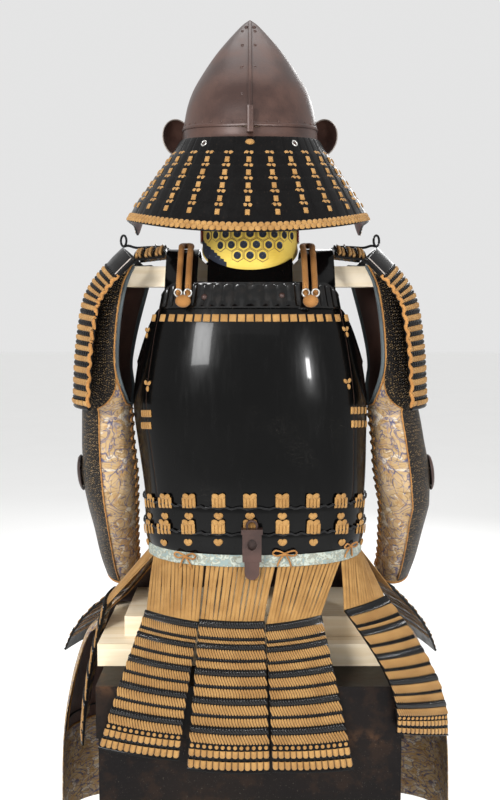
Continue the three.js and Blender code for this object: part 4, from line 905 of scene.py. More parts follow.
def make_cuirass():
    plate_piece("cuirass_back", "back_plate", -SEAM, SEAM, lambda a: corner_top(a, 0, PLATE_TOP, 10), 130)
    plate_piece("cuirass_front", "front_plate", 180 - SEAM, 180 + SEAM,
                lambda a: corner_top(a, 180, PLATE_TOP, 34), 130, 1.4)
    for name, sign in SIDES:
        start = 0 if sign > 0 else 180
        low, high = start + SEAM + SEAM_GAP, start + 180 - SEAM - SEAM_GAP

        def armhole(a):
            t = np.abs(np.where(a > 180, 360 - a, a)) - SEAM
            length = 180 - 2 * SEAM
            return 952 + 82 * smooth(t, 26, 0) + 56 * smooth(t, length - 28, length)

        plate_piece(f"cuirass_side_{name}", f"side_plate_{name}", low, high, armhole, 70, 1.8)

    piece = Piece()
    angle = np.linspace(-SEAM + 1, SEAM - 1, FLUTES * 8 + 1)[None, :]
    t = np.array([0, 0.03, 0.06, 0.09, 0.12, 0.3, 0.5, 0.7, 0.86, 0.9, 0.93, 0.97, 1.0])[:, None]
    z = mix(FLUTED_FOOT, corner_top(angle, 0, FLUTED_TOP, 30), t)
    flute = 2.3 * np.abs(np.sin(np.arange(FLUTES * 8 + 1) / 8 * math.pi))[None, :] ** 0.7
    inset = smooth(t, 0.06, 0.12) * smooth(t, 0.93, 0.88) * smooth(np.abs(angle), SEAM - 2, SEAM - 4)
    outer = 5.9 - 2.2 * inset + flute * inset + 0.9 * bell(t, 0.97, 0.03)
    wall(piece, cuirass_base, angle, z, outer, WALL + 0.4, CUIRASS_STEP)
    piece.make("cuirass_fluted_plate", [TOPS], ["back_top_plate"])

    trim = Piece()
    for px, py in ((205, 298), (281.5, 296.5)):
        at, right, up = on_cuirass(px, py, RIVET_OUT)
        pad(trim, at, right, up, 9.5, 9.5, 4.2, power=2, n=9)
    top = np.linspace(-SEAM + 1, SEAM - 1, 60)
    line = cuirass_base(top, corner_top(top, 0, FLUTED_TOP, 30))
    n = unit(line * [1, 1, 0])
    cord(trim, line + n * 4.8 + [0, 0, 0.4], 0.9, 1, 6, step=6)
    trim.make("cuirass_rivets", [DARK_IRON, SILVER])

    angle = np.linspace(-180, 180, 289)[None, :-1]
    for k, (low, high, off) in enumerate(WAIST_LAMES, 1):
        piece = Piece()
        z = np.concatenate([[low, low + 1.2], np.linspace(low + 4, high - 4, 8), [high - 1.2, high]])[:, None]
        soft = -0.8 * bell(z, low, 1.5) - 0.8 * bell(z, high, 1.5)
        wall(piece, cuirass_base, angle, z, off + soft, off - WALL, CUIRASS_STEP, wrap=True)
        piece.make(f"cuirass_waist_lame_{k}", [LACQUER], [f"waist_lame_{k}"])

    twist = Piece()
    for z, off in ((725.5, 5.6), (684.5, 8.2)):
        turn = np.linspace(-180, 180, 200)[:-1]
        line = cuirass_base(turn, np.full_like(turn, z) + 1.6 * np.sin(np.arange(199) * 1.9))
        n = unit((line - [LEAN, 0, 0]) * [1, 1.3, 0])
        cord(twist, line + n * off, 1.5, 0, 6, 0.9, 2, 0.3, 2.5, wrap=True)
    twist.make("cuirass_black_lacing", [BLACK_CORD])

    gold = Piece()
    for k in range(23):
        at, right, up = on_cuirass(155.2 + 8.63 * k, 318.3, WALL + 0.2)
        pad(gold, at, right, up, 11.2, 11.8, 2.6, power=5, n=8)
    for px, wide in ((152.5, 15), (167, 20), (190, 20), (219, 20), (250, 20), (282, 20), (312, 20), (339, 19),
                     (357, 15)):
        for py, off in ((501.5, 5.4), (527.5, 8.0)):
            for side in (-1.5, -0.5, 0.5, 1.5):
                at, right, up = on_cuirass(px + side * wide * 0.165, py + 1.2, off)
                pad(gold, at, right, up, wide * 0.27, 17, 2.2, power=4, n=6)
            at, right, up = on_cuirass(px, py - 5.0, off + 0.3)
            heart(gold, at, right, up, wide * 1.02, 9, 2.8)
        for py, off in ((515.5, 5.6), (541.5, 8.2)):
            at, right, up = on_cuirass(px, py, off)
            heart(gold, at, right, up, 13.5, 9, 2.8)
            pad(gold, at - up * 2.4, right, up, 11, 9, 2.6, power=2)
    for px, py in ((148.5, 332), (148.5, 385), (344.5, 331), (346.5, 383)):
        at, right, up = on_cuirass(px, py, WALL + 0.2)
        for dx, dy, turn in ((-4.5, 3, 50), (4.5, 3, -50), (2, -6, 10)):
            pad(gold, at + right * dx + up * dy, right, up, 6.2, 9.5, 2.8, turn=turn, power=2)
    for px, py, wide in ((147.5, 413.5, 16), (147.5, 425.5, 16), (357.5, 410.5, 27), (358, 424, 27)):
        for k in range(-2, 3):
            at, right, up = on_cuirass(px + k * wide * 0.12, py, WALL + 0.2)
            pad(gold, at, right, up, wide * 0.24, 11.5, 2.2, power=5, n=6)
    gold.make("cuirass_gold_lacing", [GOLD])


make_cuirass()


# A flat size for a piece of cloth: mean width and length along it, and its area.
def cut_size(front):
    rows_long = np.linalg.norm(np.diff(front, axis=1), axis=2).sum(1)
    columns_long = np.linalg.norm(np.diff(front, axis=0), axis=2).sum(0)
    a = np.cross(front[1:, 1:] - front[:-1, :-1], front[1:, :-1] - front[:-1, 1:])
    area = float(np.linalg.norm(a, axis=2).sum() / 2) * 1e-6
    wide, long = float(rows_long.max()) * MM, float(columns_long.max()) * MM
    return (max(wide, area / long * 1.01), long), area


# Works out the flat size that a sheet of cloth would be cut to from its outer face; the size is not used.
def cloth(front):
    size, area = cut_size(front)


# The patterned belt and the orange ties that hang on it.
def make_belt():
    piece = Piece()
    angle = np.linspace(-180, 180, 289)[None, :-1]
    z = np.linspace(632.6, 651.6, 10)[:, None]
    wave = 0.35 * np.sin(np.radians(angle) * 23) + 0.3 * np.sin(np.radians(angle) * 61 + z * 0.2)
    front, _ = wall(piece, cuirass_base, angle, z, 6.9 + wave, 5.3 + wave, CUIRASS_STEP, wrap=True)
    belt = piece.make("waist_sash", [SASH], ["waist_belt"])
    cloth(np.concatenate([front, front[:, :1]], 1))
    ties = Piece()
    for px, py, size in ((188, 556, 1.0), (284, 553, 1.0), (346, 545, 0.9)):
        at, right, up = on_cuirass(px, py, 9.5)
        out = np.cross(right, up)
        for side in (-1, 1):
            loop = [(0, 0, 0), (7, 4, 1.5), (15, 6, 2.5), (19, 1, 2), (13, -3, 1.5), (5, -1, 2), (0, 0, 2.5)]
            tail = [(0, 0, 1), (5, -6, 1.5), (9, -14, 1), (11, -21, 2)]
            for shape in (loop, tail):
                line = [at + right * side * x * size + up * y * size + out * d for x, y, d in shape]
                cord(ties, line, 1.4, 0, 6, *PLY, 1.5)
        pad(ties, at + out * 2, right, up, 6.5, 6, 3, power=2)
    ties.make("belt_ties", [PIPING])


make_belt()


# The collar of raised hexagons, the yoke and the straps.
COLLAR_R, COLLAR_Y, COLLAR_ARC, COLLAR_TOP = 77, -22, 112, 1172
HEX_PITCH, HEX_SIZE, HEX_FOOT, HEX_RISE = 19.6, 10.9, 1116.5, 16.8


def collar_low(angle):
    return 1088 + 45 * (1 - np.cos(np.radians(angle)))


def collar_base(angle, v):
    a = np.radians(angle)
    return stack(COLLAR_R * np.sin(a), COLLAR_Y - COLLAR_R * np.cos(a), mix(collar_low(angle), COLLAR_TOP, v))


def plain_band(angle):
    return 12 + 14 * smooth(np.abs(angle), 15, 55)


def make_collar():
    piece = Piece()
    angle = np.linspace(-COLLAR_ARC, COLLAR_ARC, 180)[None, :]
    v = np.linspace(0, 1, 24)[:, None]
    wall(piece, collar_base, angle, v, 0.2 + 0.5 * np.sin(v * math.pi) ** 0.5, -2.2, (1, 0.01),
         (0, COLLAR_Y), inside=1)
    height = collar_base(angle[:, 1:] + 0 * v[1:], v[1:])[..., 2] - collar_low(angle[:, 1:])
    navy = (angle[:, 1:] < -28) & (height < plain_band(angle[:, 1:]))
    piece.marks[-6] = np.where(navy, 1, 0).reshape(-1)
    turn = np.linspace(-math.pi, math.pi, 25)[None, :-1]
    t = np.array([0.02, 0.25, 0.44, 0.52, 0.7, 0.86, 1.0])[:, None]
    hexagon = math.cos(math.pi / 6) / np.cos((turn % (math.pi / 3)) - math.pi / 6)
    shape = mix(1.0, hexagon, smooth(t, 0.48, 0.85)) * t * HEX_SIZE * 1.04
    lift = np.array([0.9, 0.9, 0.8, 1.7, 2.1, 1.4, 0.2])[:, None] + 0 * turn
    for row in range(4):
        z = HEX_FOOT + HEX_RISE * row
        for k in range(-8, 9):
            angle = (k + (row % 2) * 0.5) * HEX_PITCH / COLLAR_R * 180 / math.pi
            if abs(angle) > COLLAR_ARC - 9 or z - 10 < collar_low(angle) + plain_band(angle) or z + 9 > COLLAR_TOP:
                continue
            a = math.radians(angle) + shape * np.cos(turn + math.pi / 6) / COLLAR_R
            r = COLLAR_R + lift
            points = stack(r * np.sin(a), COLLAR_Y - r * np.cos(a), z + shape * np.sin(turn + math.pi / 6))
            piece.patch(points, np.array([1, 1, 1, 0, 0, 2])[:, None], True)
    edge = np.linspace(-COLLAR_ARC, COLLAR_ARC, 60)
    for v, off in ((0.0, 0.3), (1.0, -1.0)):
        line = collar_base(edge, np.full_like(edge, v))
        out = unit((line - [0, COLLAR_Y, 0]) * [1, 1, 0])
        cord(piece, line + out * off, 1.3, 0, 6, step=6)
    collar = piece.make("quilted_collar", [YELLOW, NAVY, LINING], ["collar"])

    def angle_at(x, z):
        half = lookup(CUIRASS, "z", "half", z)
        return np.degrees(np.arcsin(np.clip(np.abs(x / half) ** (POWER / 2), 0, 1))) * np.sign(x)

    def yoke(x, v):
        wide = np.degrees(np.arcsin(np.clip(x / (COLLAR_R + 1.2), -0.9999, 0.9999)))
        z0, z1 = 1047.2, 1071.0
        z = mix(z0, z1, np.clip(v, 0, 1))
        low = cuirass_base(angle_at(x, z), z)
        r = COLLAR_R + 0.4 + WALL + 1.4
        top = stack(x, COLLAR_Y - np.sqrt(np.maximum(0, r * r - x * x)), collar_low(wide) + 5)
        rise = np.clip(v - 1, 0, 1)[..., None]
        return mix(low, top, rise)

    piece = Piece()
    x = np.linspace(-66, 66, 60)[None, :]
    v = np.linspace(0, 2, 21)[:, None]
    wall(piece, yoke, x, v, WALL, 0, (0.5, 0.02))
    piece.make("cuirass_yoke", [LACQUER], ["shoulder_yoke"])


make_collar()


def strap_base(x, v):
    low, high = ring_y(x, 1050), ring_y(x, 1078)
    reach = high / 100
    ys = [-low, -high, -72 * reach, -42 + 0 * x, -8 + 0 * x, 28 + 0 * x, 72 * reach, high, low]
    zs = [1047.5, 1076, 1108, 1126, 1131, 1126, 1106, 1076, 1049]
    z = lookup({"v": np.arange(9.0), "z": np.array(zs)}, "v", "z", v)
    v = np.clip(np.asarray(v, float), 0, 8)
    i = np.clip(np.ceil(v).astype(int), 1, 8)
    t = v - (i - 1)
    x, v = np.broadcast_arrays(x, v)
    table = np.stack([np.broadcast_to(y, x.shape) for y in ys])
    pick = lambda k: np.take_along_axis(table, np.broadcast_to(np.clip(k, 0, 8), x.shape)[None], 0)[0]
    p, q, before, after = pick(i - 1), pick(i), pick(i - 2), pick(i + 1)
    start = np.where(i > 1, (q - before) / 2, q - p)
    end = np.where(i < 8, (after - p) / 2, q - p)
    return stack(x, hermite(t, p, q, start, end), z)


def make_straps():
    for name, sign in SIDES:
        piece = Piece()
        x = np.linspace(82, 134, 20)[None, :]
        v = np.linspace(0.1, 7.9, 90)[:, None]
        bead = 0.8 * bell(x, 83.5, 1.6) + 0.8 * bell(x, 132.5, 1.6)
        wall(piece, lambda a, b: strap_base(a, b) * [sign, 1, 1], x, v, WALL + bead, 0, (0.5, 0.02),
             "up")
        piece.make(f"cuirass_strap_{name}", [LACQUER], [f"shoulder_strap_{name}"])

        middle = 93 if sign > 0 else 103

        def lifted(x, v):
            p, a, b = (strap_base(np.array([float(x)]), np.array([v + d]))[0] for d in (0, -0.1, 0.1))
            length = math.hypot(b[1] - a[1], b[2] - a[2])
            off = WALL + 5.0 + 0.6
            return [x, p[1] - (b[2] - a[2]) / length * off, p[2] + (b[1] - a[1]) / length * off]

        def half(d):
            x = middle + d
            lower = [[x, -(float(ring_y(x, z)) + off), z] for z, off in ((1050, 13), (1062, 13.5), (1074, 13.5))]
            return lower + [lifted(x, v) for v in (1.75, 2.3, 2.9, 3.3)]

        route = np.array(half(-7.4) + [lifted(middle, 3.75)] + half(7.4)[::-1]) * [sign, 1, 1]
        piece = Piece()
        cord(piece, route, 4.7, 0, 12, 0.55, 6, 0.16, 1.6)
        knot = np.array([sign * middle, -(float(ring_y(middle - 10, 1042)) + 14.2), 1045])
        a = np.linspace(0, TAU, 33)[None, :-1]
        b = np.linspace(0.05, math.pi - 0.05, 20)[:, None]
        weave = 1 + 0.05 * np.sin(8 * a + 10 * b) * np.sin(8 * a - 10 * b)
        points = stack(knot[0] + 11.8 * weave * np.sin(b) * np.cos(a), knot[1] + 6.8 * weave * np.sin(b) * np.sin(a),
                       knot[2] + 9.8 * weave * np.cos(b))
        piece.patch(points, 0, True, turn=True)
        for side in (-1, 1):
            centre = knot + [side * 7.5, -1.5, 12.5]
            cord(piece, ring_round(centre, [5.6, 0, 0], [0, -1.5, 5.6], 12), 1.25, 1, 8, step=1.5, wrap=True)
        piece.make(f"strap_cord_{name}", [ROPE, SILVER], [f"shoulder_cord_{name}"])


make_straps()


# Laced panels: bands of black scale tops (head) and bars, of gold braid (loop, braid, scallop, dots) and a plain
# rim, down the panel in turn. A band's number is its share of the panel's length.
PANEL_STEP = (0.02, 0.02)


def laced(piece, base, steps, lames, columns, thick, step, out=None, low=0.0, high=1.0, puff=1.0, inside=True):
    total = sum(tall for lame in lames for _, tall in lame)
    v0 = low
    levels, lifts = [], []
    for number, lame in enumerate(lames):
        size = sum(tall for _, tall in lame)
        share = 0.0
        for kind, tall in lame:
            v1 = v0 + (high - low) * tall / total
            count = columns if kind in ("head", "loop", "braid", "bar") else columns // 2
            finer = {"bar": 4, "rim": 4, "head": 6, "dots": 3}.get(kind, 7)
            t = np.linspace(0, 1, finer)[:, None]
            across = np.linspace(0, 1, count * 4 + 1)[None, :]
            phase = (across * count) % 1.0
            arch = np.sqrt(np.clip(1 - (2 * phase - 1) ** 2, 0, 1))
            round_t = np.sqrt(np.clip(1 - (2 * t - 1) ** 4, 0, 1))
            seat = thick + step * mix(1.15, 0.3, (share + tall * t) / size)
            sway = 0.012 * math.sin(number * 2.3 + len(levels))
            u = -1 + 2 * across + 0 * t
            v = mix(v0, v1, t) + 0 * across
            depth = v1 - v0
            if kind == "head":
                u = np.clip(u + (t - 0.5) * 2.0 / count, -1, 1)
                v = v + depth * 0.42 * (1 - arch) * (1 - t) ** 2
                lift = (0.1 + 3.2 * arch * (1 - 0.5 * t)) * np.minimum(round_t * 1.4, 1) - 0.5
            elif kind == "bar":
                lift = 0.1 + 1.0 * arch * round_t
            elif kind == "loop":
                u = np.clip(u + (t - 0.5) * 2.2 / count, -1, 1)
                v = v + depth * 0.2 * (1 - arch) * (1 - 2 * t)
                lift = 0.3 + 2.2 * arch * round_t
            elif kind == "braid":
                u = np.clip(u + sway * np.sin(np.pi * t) + (t - 0.5) * 1.5 / count, -1, 1)
                v = v + depth * 0.16 * (1 - arch) * (1 - 2 * t)
                lift = 0.3 + 1.7 * arch ** 0.7 * round_t
            elif kind == "scallop":
                v = v - depth * 0.26 * (1 - arch) * t
                lift = 0.3 + 2.3 * arch * np.sqrt(np.clip(1 - (1.6 * t - 0.8) ** 4, 0, 1)) * (1 - t ** 6)
            elif kind == "rim":
                lift = 0.6 + 0.9 * round_t + 0 * across
            else:
                lift = 0.2 + 0 * across + 0 * t
            at, n, toward = outside(base, u, v, steps, out)
            gold = kind in ("loop", "braid", "scallop")
            down = np.linalg.norm(at[-1, 0] - at[0, 0]) * MM
            uv = stack(across * count * COLUMN + 0 * t, t * down + 0 * across)
            finish = 1 if gold else (2 if kind == "head" else 0)
            piece.patch(at + n * (seat + lift * puff)[..., None], finish, uv=uv, turn=toward < 0)
            if inside and kind in ("loop", "braid"):
                piece.patch((at - n * 0.5)[::finer - 1], 1, uv=uv[::finer - 1], turn=toward > 0)
            if kind == "dots":
                for k in range(count):
                    spot, right, up = spot_on(base, -1 + (2 * k + 1) / count, (v0 + v1) / 2, 0, steps)
                    face = unit(np.cross(right, up))
                    n0 = n[1, 4 * k + 2]
                    if np.dot(face, n0) < 0:
                        right = -right
                    wide = float(np.linalg.norm(at[1, 4 * k + 4] - at[1, 4 * k]))
                    tall_mm = float(np.linalg.norm(at[-1, 4 * k] - at[0, 4 * k]))
                    pad(piece, spot + n0 * float(seat[1, 0] + 0.3), right, up, wide * 0.64, tall_mm * 0.62, 2.0, 3,
                        power=2)
            levels += [v0, v1 - 1e-4]
            lifts += [float(seat[0, 0]), float(seat[-1, 0])]
            v0, share = v1, share + tall
    v = np.array(levels)[:, None]
    u = np.linspace(-1, 1, columns + 1)[None, :]
    wall(piece, base, u, v, np.array(lifts)[:, None] + 0 * u, 0, steps, out)


TASSET_LAMES = [
    [("head", 62), ("loop", 76), ("bar", 24), ("braid", 28)],
    [("head", 46), ("loop", 76), ("bar", 24), ("braid", 60)],
    [("head", 54), ("loop", 78), ("bar", 24), ("braid", 76)],
    [("head", 56), ("loop", 84), ("bar", 24), ("braid", 76)],
    [("head", 60), ("loop", 84), ("dots", 54), ("scallop", 66), ("bar", 26), ("scallop", 76), ("rim", 26)]]
# Each tasset: its number round the belt, its top edge and its hem (x, y, z, turn, tilt and half its width), the bow
# of its edges and the swell of its face.
TASSETS = {
    "left_front": (-3, (-208, 116, 538, -128, 3, 46), (-322, 210, 398, -127, 8, 57), 4, 22),
    "left_side": (-2, (-240, -8, 549, -92, 2, 45), (-283, -32, 325, -84, 3, 58), 5, 7),
    "rear_left": (-1, (-118, -184, 569, -12, 9, 41), (-166, -226, 372, -6, 6, 60), 5, 7),
    "rear": (0, (-27, -192, 565, 0, 2, 48), (-32, -228, 347, 0, 2, 61), 6, 7),
    "rear_right": (1, (66, -187, 564, 8, -7, 42), (94, -226, 347, 2, -1, 60), 5, 7),
    "right_rear": (2, (181, -138, 574, 31, -8, 40), (264, -188, 386, 34, 17, 54), 4, 42),
    "right_front": (3, (236, 78, 547, 112, 0, 44), (326, 194, 404, 119, -9, 57), 4, 13),
    "front_right": (4, (82, 184, 563, 166, 0, 46), (100, 284, 362, 170, 0, 58), 5, 7),
    "front_left": (-4, (-32, 194, 563, 180, 0, 46), (-34, 288, 362, 180, 0, 58), 5, 7)}


def line_at(row, bow, u):
    x, y, z, turn, tilt, half = row
    c, s = math.cos(math.radians(turn)), math.sin(math.radians(turn))
    along, inward = half * u, bow * u * u
    return stack(x + c * along - s * inward, y + s * along + c * inward, z - math.sin(math.radians(tilt)) * along)


def make_tassets():
    for name, (_, top, hem, bow, swell) in TASSETS.items():
        turn = math.radians(top[3])

        def base(u, v):
            p = mix(line_at(top, bow, u), line_at(hem, bow, u), v[..., None])
            bulge = swell * np.sin(math.pi * np.clip(v, 0, 1))
            return p + stack(math.sin(turn) * bulge, -math.cos(turn) * bulge, 0)

        piece = Piece()
        laced(piece, base, PANEL_STEP, TASSET_LAMES, 26, 2.0, 2.4, out=tuple(0.15 * (np.array(top[:2]) + hem[:2])))
        piece.make(f"tasset_panel_{name}", [SCALE, LACE, TOPS, GOLD], [f"tasset_{name}"])


make_tassets()


# The braids that the tassets hang by.
def belt_line():
    x, y = oblong(177.2, 133.2, np.linspace(0, 360, 721))
    length = np.concatenate([[0], np.cumsum(np.hypot(np.diff(x), np.diff(y)))])
    return x, y, length


# Each braid drops from inside the belt to the foot of the belt, then runs on to its tasset's top edge.
# HANG holds shares of that way, and HANG_WIDTH half the braid's width at each.
HANG = np.array([0, 0.18, 0.3, 0.45, 0.6, 0.75, 0.9, 1.0])
HANG_WIDTH = np.array([3.3, 3.3, 3.2, 3.0, 2.9, 2.9, 3.0, 3.1])
HANG_BELT, HANG_FREE, BRAIDS, BELT_SHARE = 0.18, 0.82, 15, 107


def make_braids():
    xs, ys, length = belt_line()
    piece = Piece()
    free = (HANG - HANG_BELT) / HANG_FREE
    turn = np.linspace(0, TAU, 9)[:-1]
    for k, top, _, bow, _ in TASSETS.values():
        lean = math.radians(top[3])
        for i in range(BRAIDS):
            u = -1 + (i + 0.5) * 2 / BRAIDS
            s = (-22 + k * BELT_SHARE + u * 52) * length[-1] / (len(TASSETS) * BELT_SHARE)
            x = np.interp(s % length[-1], length, xs) + LEAN
            y = np.interp(s % length[-1], length, ys)
            out = math.atan2((x - LEAN) / 1.33, -y)
            sway = 0.9 * math.sin(i * 2.1 + k * 1.7) + 0.5 * math.sin(i * 5.3 + k)
            above, below = np.array([x, y, 656]), np.array([x, y, 631])
            foot = line_at(top, bow, np.array(u)) + [math.sin(lean) * 1.5, -math.cos(lean) * 1.5, -1.5]
            line = np.where(HANG[:, None] <= HANG_BELT, mix(above, below, (HANG / HANG_BELT)[:, None]),
                            mix(below, foot, free[:, None]))
            side = unit(line_at(top, bow, np.array(u + 0.05)) - line_at(top, bow, np.array(u - 0.05)))
            face = np.array([math.sin(out), -math.cos(out), 0.12])
            face = unit(mix(face, np.array([math.sin(lean), -math.cos(lean), 0.25]), HANG[:, None]))
            line = line + side * (sway * np.sin(math.pi * np.clip(free, 0, 1)))[:, None]
            wide = HANG_WIDTH * (1.04 if abs(top[3]) < 60 else 0.98)
            ring = (line[:, None] + side * (wide[:, None] * np.cos(turn))[..., None]
                    + face[:, None] * (1.25 * np.sin(turn) - 0.4)[None, :, None])
            piece.patch(ring, 0, True, stack(wide[:, None] * turn[None, :] / 3 * MM, run(line)[:, None] * MM))
    piece.make("suspension_cords", [GOLD], ["suspension_braids"])


make_braids()


# The shoulder guards, the small wings and the cords that tie the guards on.
# A shoulder guard's line, from its top edge to its hem.
SODE = rows("v x z", (0, 207, 1134), (0.12, 234, 1107), (0.3, 259, 1076), (0.42, 272, 1050), (0.56, 280.5, 1008),
            (0.74, 286.5, 958), (0.9, 289.5, 906), (1, 290, 874))


def make_shoulders():
    for name, sign in SIDES:
        def base(u, v):
            x, z = lookup(SODE, "v", "x", v), lookup(SODE, "v", "z", v)
            ahead, behind = np.clip(v, 0, 0.97) + 0.03, np.clip(v, 0.03, 1) - 0.03
            dx = lookup(SODE, "v", "x", ahead) - lookup(SODE, "v", "x", behind)
            dz = lookup(SODE, "v", "z", ahead) - lookup(SODE, "v", "z", behind)
            length = np.hypot(dx, dz)
            nx, nz = -dz / length, dx / length
            sag = 38 * u * u
            return stack(sign * (x - nx * sag), (90 + 6 * v) * u, z - nz * sag)

        def edge_line(u, off, v0=0.0, v1=1.0, n=90, wave=0.0, beats=14):
            v = np.linspace(v0, v1, n)
            uu = np.full_like(v, float(u))
            face = turned(facing(base, uu, v, *PANEL_STEP), [sign, 0, 0.4])
            return base(uu, v) + face * (off + wave * np.sin(v * beats * TAU))[:, None]

        piece = Piece()
        u = np.linspace(-1, 1, 40)[None, :]
        v = np.linspace(0, 0.115, 12)[:, None]
        wall(piece, base, u, v, 5.0 + 0.5 * np.sin(v / 0.115 * math.pi), 0.2, PANEL_STEP, "up")
        bands = [[("bar", 6.0), ("braid", 7.5)] for _ in range(14)] + [[("bar", 4.0), ("scallop", 6.5), ("rim", 4.0)]]
        laced(piece, base, PANEL_STEP, bands, 30, 2.4, 2.2, out=(sign * 60, 0), low=0.115, puff=1.7,
              inside=False)
        for side in (-0.985, 0.985):
            cord(piece, edge_line(side, 3.6, 0.1, 1.0, 110, 1.5)[::2], 2.9, 2, 8, 0.8, 3, 0.25, 2.5)
            cord(piece, edge_line(side * 0.95, 5.2, 0.0, 0.12, 12), 1.2, 3, 6, step=4)
        piece.make(f"shoulder_guard_panel_{name}", [SCALE, LACE, PIPING, RIM],
                   [f"shoulder_guard_{name}"])

        def wing(u, v):
            y = 44 * u - 4
            return stack(sign * mix(137.5, 188, v), y, 1131 - 6 * v - 0.006 * y * y)

        piece = Piece()
        bands = [[("head", 40), ("loop", 60), ("braid", 60)], [("head", 40), ("loop", 60), ("braid", 60)],
                 [("head", 40), ("loop", 50), ("scallop", 50), ("rim", 20)]]
        laced(piece, wing, PANEL_STEP, bands, 12, 2.0, 2.0, out="up", puff=3.0)
        piece.make(f"shoulder_wing_panel_{name}", [SCALE, LACE, GLOSS], [f"shoulder_wing_{name}"])

        route = np.array([[135.6, 13, 1135.4], [150, 12, 1139.6], [170, 10, 1139], [190, 8, 1138], [203, 5, 1141],
                          [212.3, 4, 1139.3]]) * [sign, 1, 1]
        piece = Piece()
        cord(piece, route, 2.1, 0, 8, 0.7, 4, 0.2, 1.5)
        eye = ring_round([sign * 211, 4, 1149], [sign * 5, 3, 0], [0, 0, 9], 14)
        cord(piece, eye, 1.9, 0, 8, 0.7, 4, 0.2, 1.5, wrap=True)
        for x in (146, 158):
            ring = ring_round([sign * x, 12, 1139], [0, 4.4, 0], [0, 0, 4.4], 14)
            cord(piece, ring, 1.3, 1, 6, step=1.5, wrap=True)
        piece.make(f"guard_tie_{name}", [BLACK_CORD, SILVER], [f"guard_cord_{name}"])


make_shoulders()


# The sleeves: brocade tubes in the hang of an empty arm, with mail on the outer side.
# Down the arm: height, middle, radii, and the angles of the sleeve's rear and front edges.
ARM = rows("v z x y rx ry rear front", (0, 1108, 191, -3, 32, 50, -100, 150), (1, 1070, 207, -2, 40, 56, -98, 140),
           (2, 1000, 220, 0, 42, 58, -100, 124), (3, 935, 230, 2, 41, 56, -112, 126),
           (4, 886, 239, 4, 40, 53, -150, 168), (5, 870, 240, 5, 41, 53, -177, 178),
           (6, 820, 240, 7, 42.5, 51, -178, 178), (7, 765, 239, 14, 46, 49, -178, 178),
           (8, 712, 238, 36, 43, 45, -178, 178), (9, 655, 238, 72, 38, 41, -178, 178),
           (10, 601, 237, 104, 34, 37, -178, 178), (11, 557, 234, 137, 31, 33, -178, 178))
# Creases by angle, place down the arm, width, length and lift; folds likewise, by share across the apron.
CREASES = {"left": [(-70, 7.1, 20, 0.35, -2.6), (-20, 6.6, 26, 0.3, -2.0), (-120, 7.9, 22, 0.5, -2.4),
                    (-95, 5.6, 16, 0.6, 1.6), (-40, 8.8, 24, 0.5, -1.8), (60, 7.2, 26, 0.4, -2.2),
                    (120, 8.2, 20, 0.5, -2.0), (-130, 9.6, 22, 0.6, 1.8), (30, 9.9, 22, 0.5, -1.6)],
           "right": [(-60, 7.4, 24, 0.3, -2.4), (-110, 6.5, 20, 0.45, -2.2), (-85, 8.4, 26, 0.4, -2.6),
                     (-30, 5.5, 18, 0.7, 1.5), (-135, 9.1, 18, 0.6, -1.8), (45, 7.7, 24, 0.4, -2.0),
                     (110, 6.4, 22, 0.5, -2.2), (150, 8.9, 20, 0.5, 1.6), (-50, 10.0, 20, 0.6, -1.6)]}


def arm(v, column):
    return lookup(ARM, "v", column, v)


def arm_point(angle, v):
    lean = np.arctan2(arm(v + 0.3, "y") - arm(v - 0.3, "y"), arm(v - 0.3, "z") - arm(v + 0.3, "z"))
    c, s = np.cos(np.radians(angle)), np.sin(np.radians(angle))
    deep = arm(v, "ry") * s
    return stack(arm(v, "x") + arm(v, "rx") * c, arm(v, "y") + deep * np.cos(lean), arm(v, "z") + deep * np.sin(lean))


# The angle round the arm at share u of the way from the sleeve's rear edge to its front edge.
def around(u, v):
    return mix(arm(v, "rear"), arm(v, "front"), u)


# The lift of creases or folds at places across and along the cloth.
def crease(across, v, marks, slope=0.12):
    lift = 0 * across
    for a, at, wide, long, deep in marks:
        slant = (across - a) / wide
        lift = lift + deep * np.exp(-(slant ** 2) - ((v - at - slant * slope) / long) ** 2)
    return lift


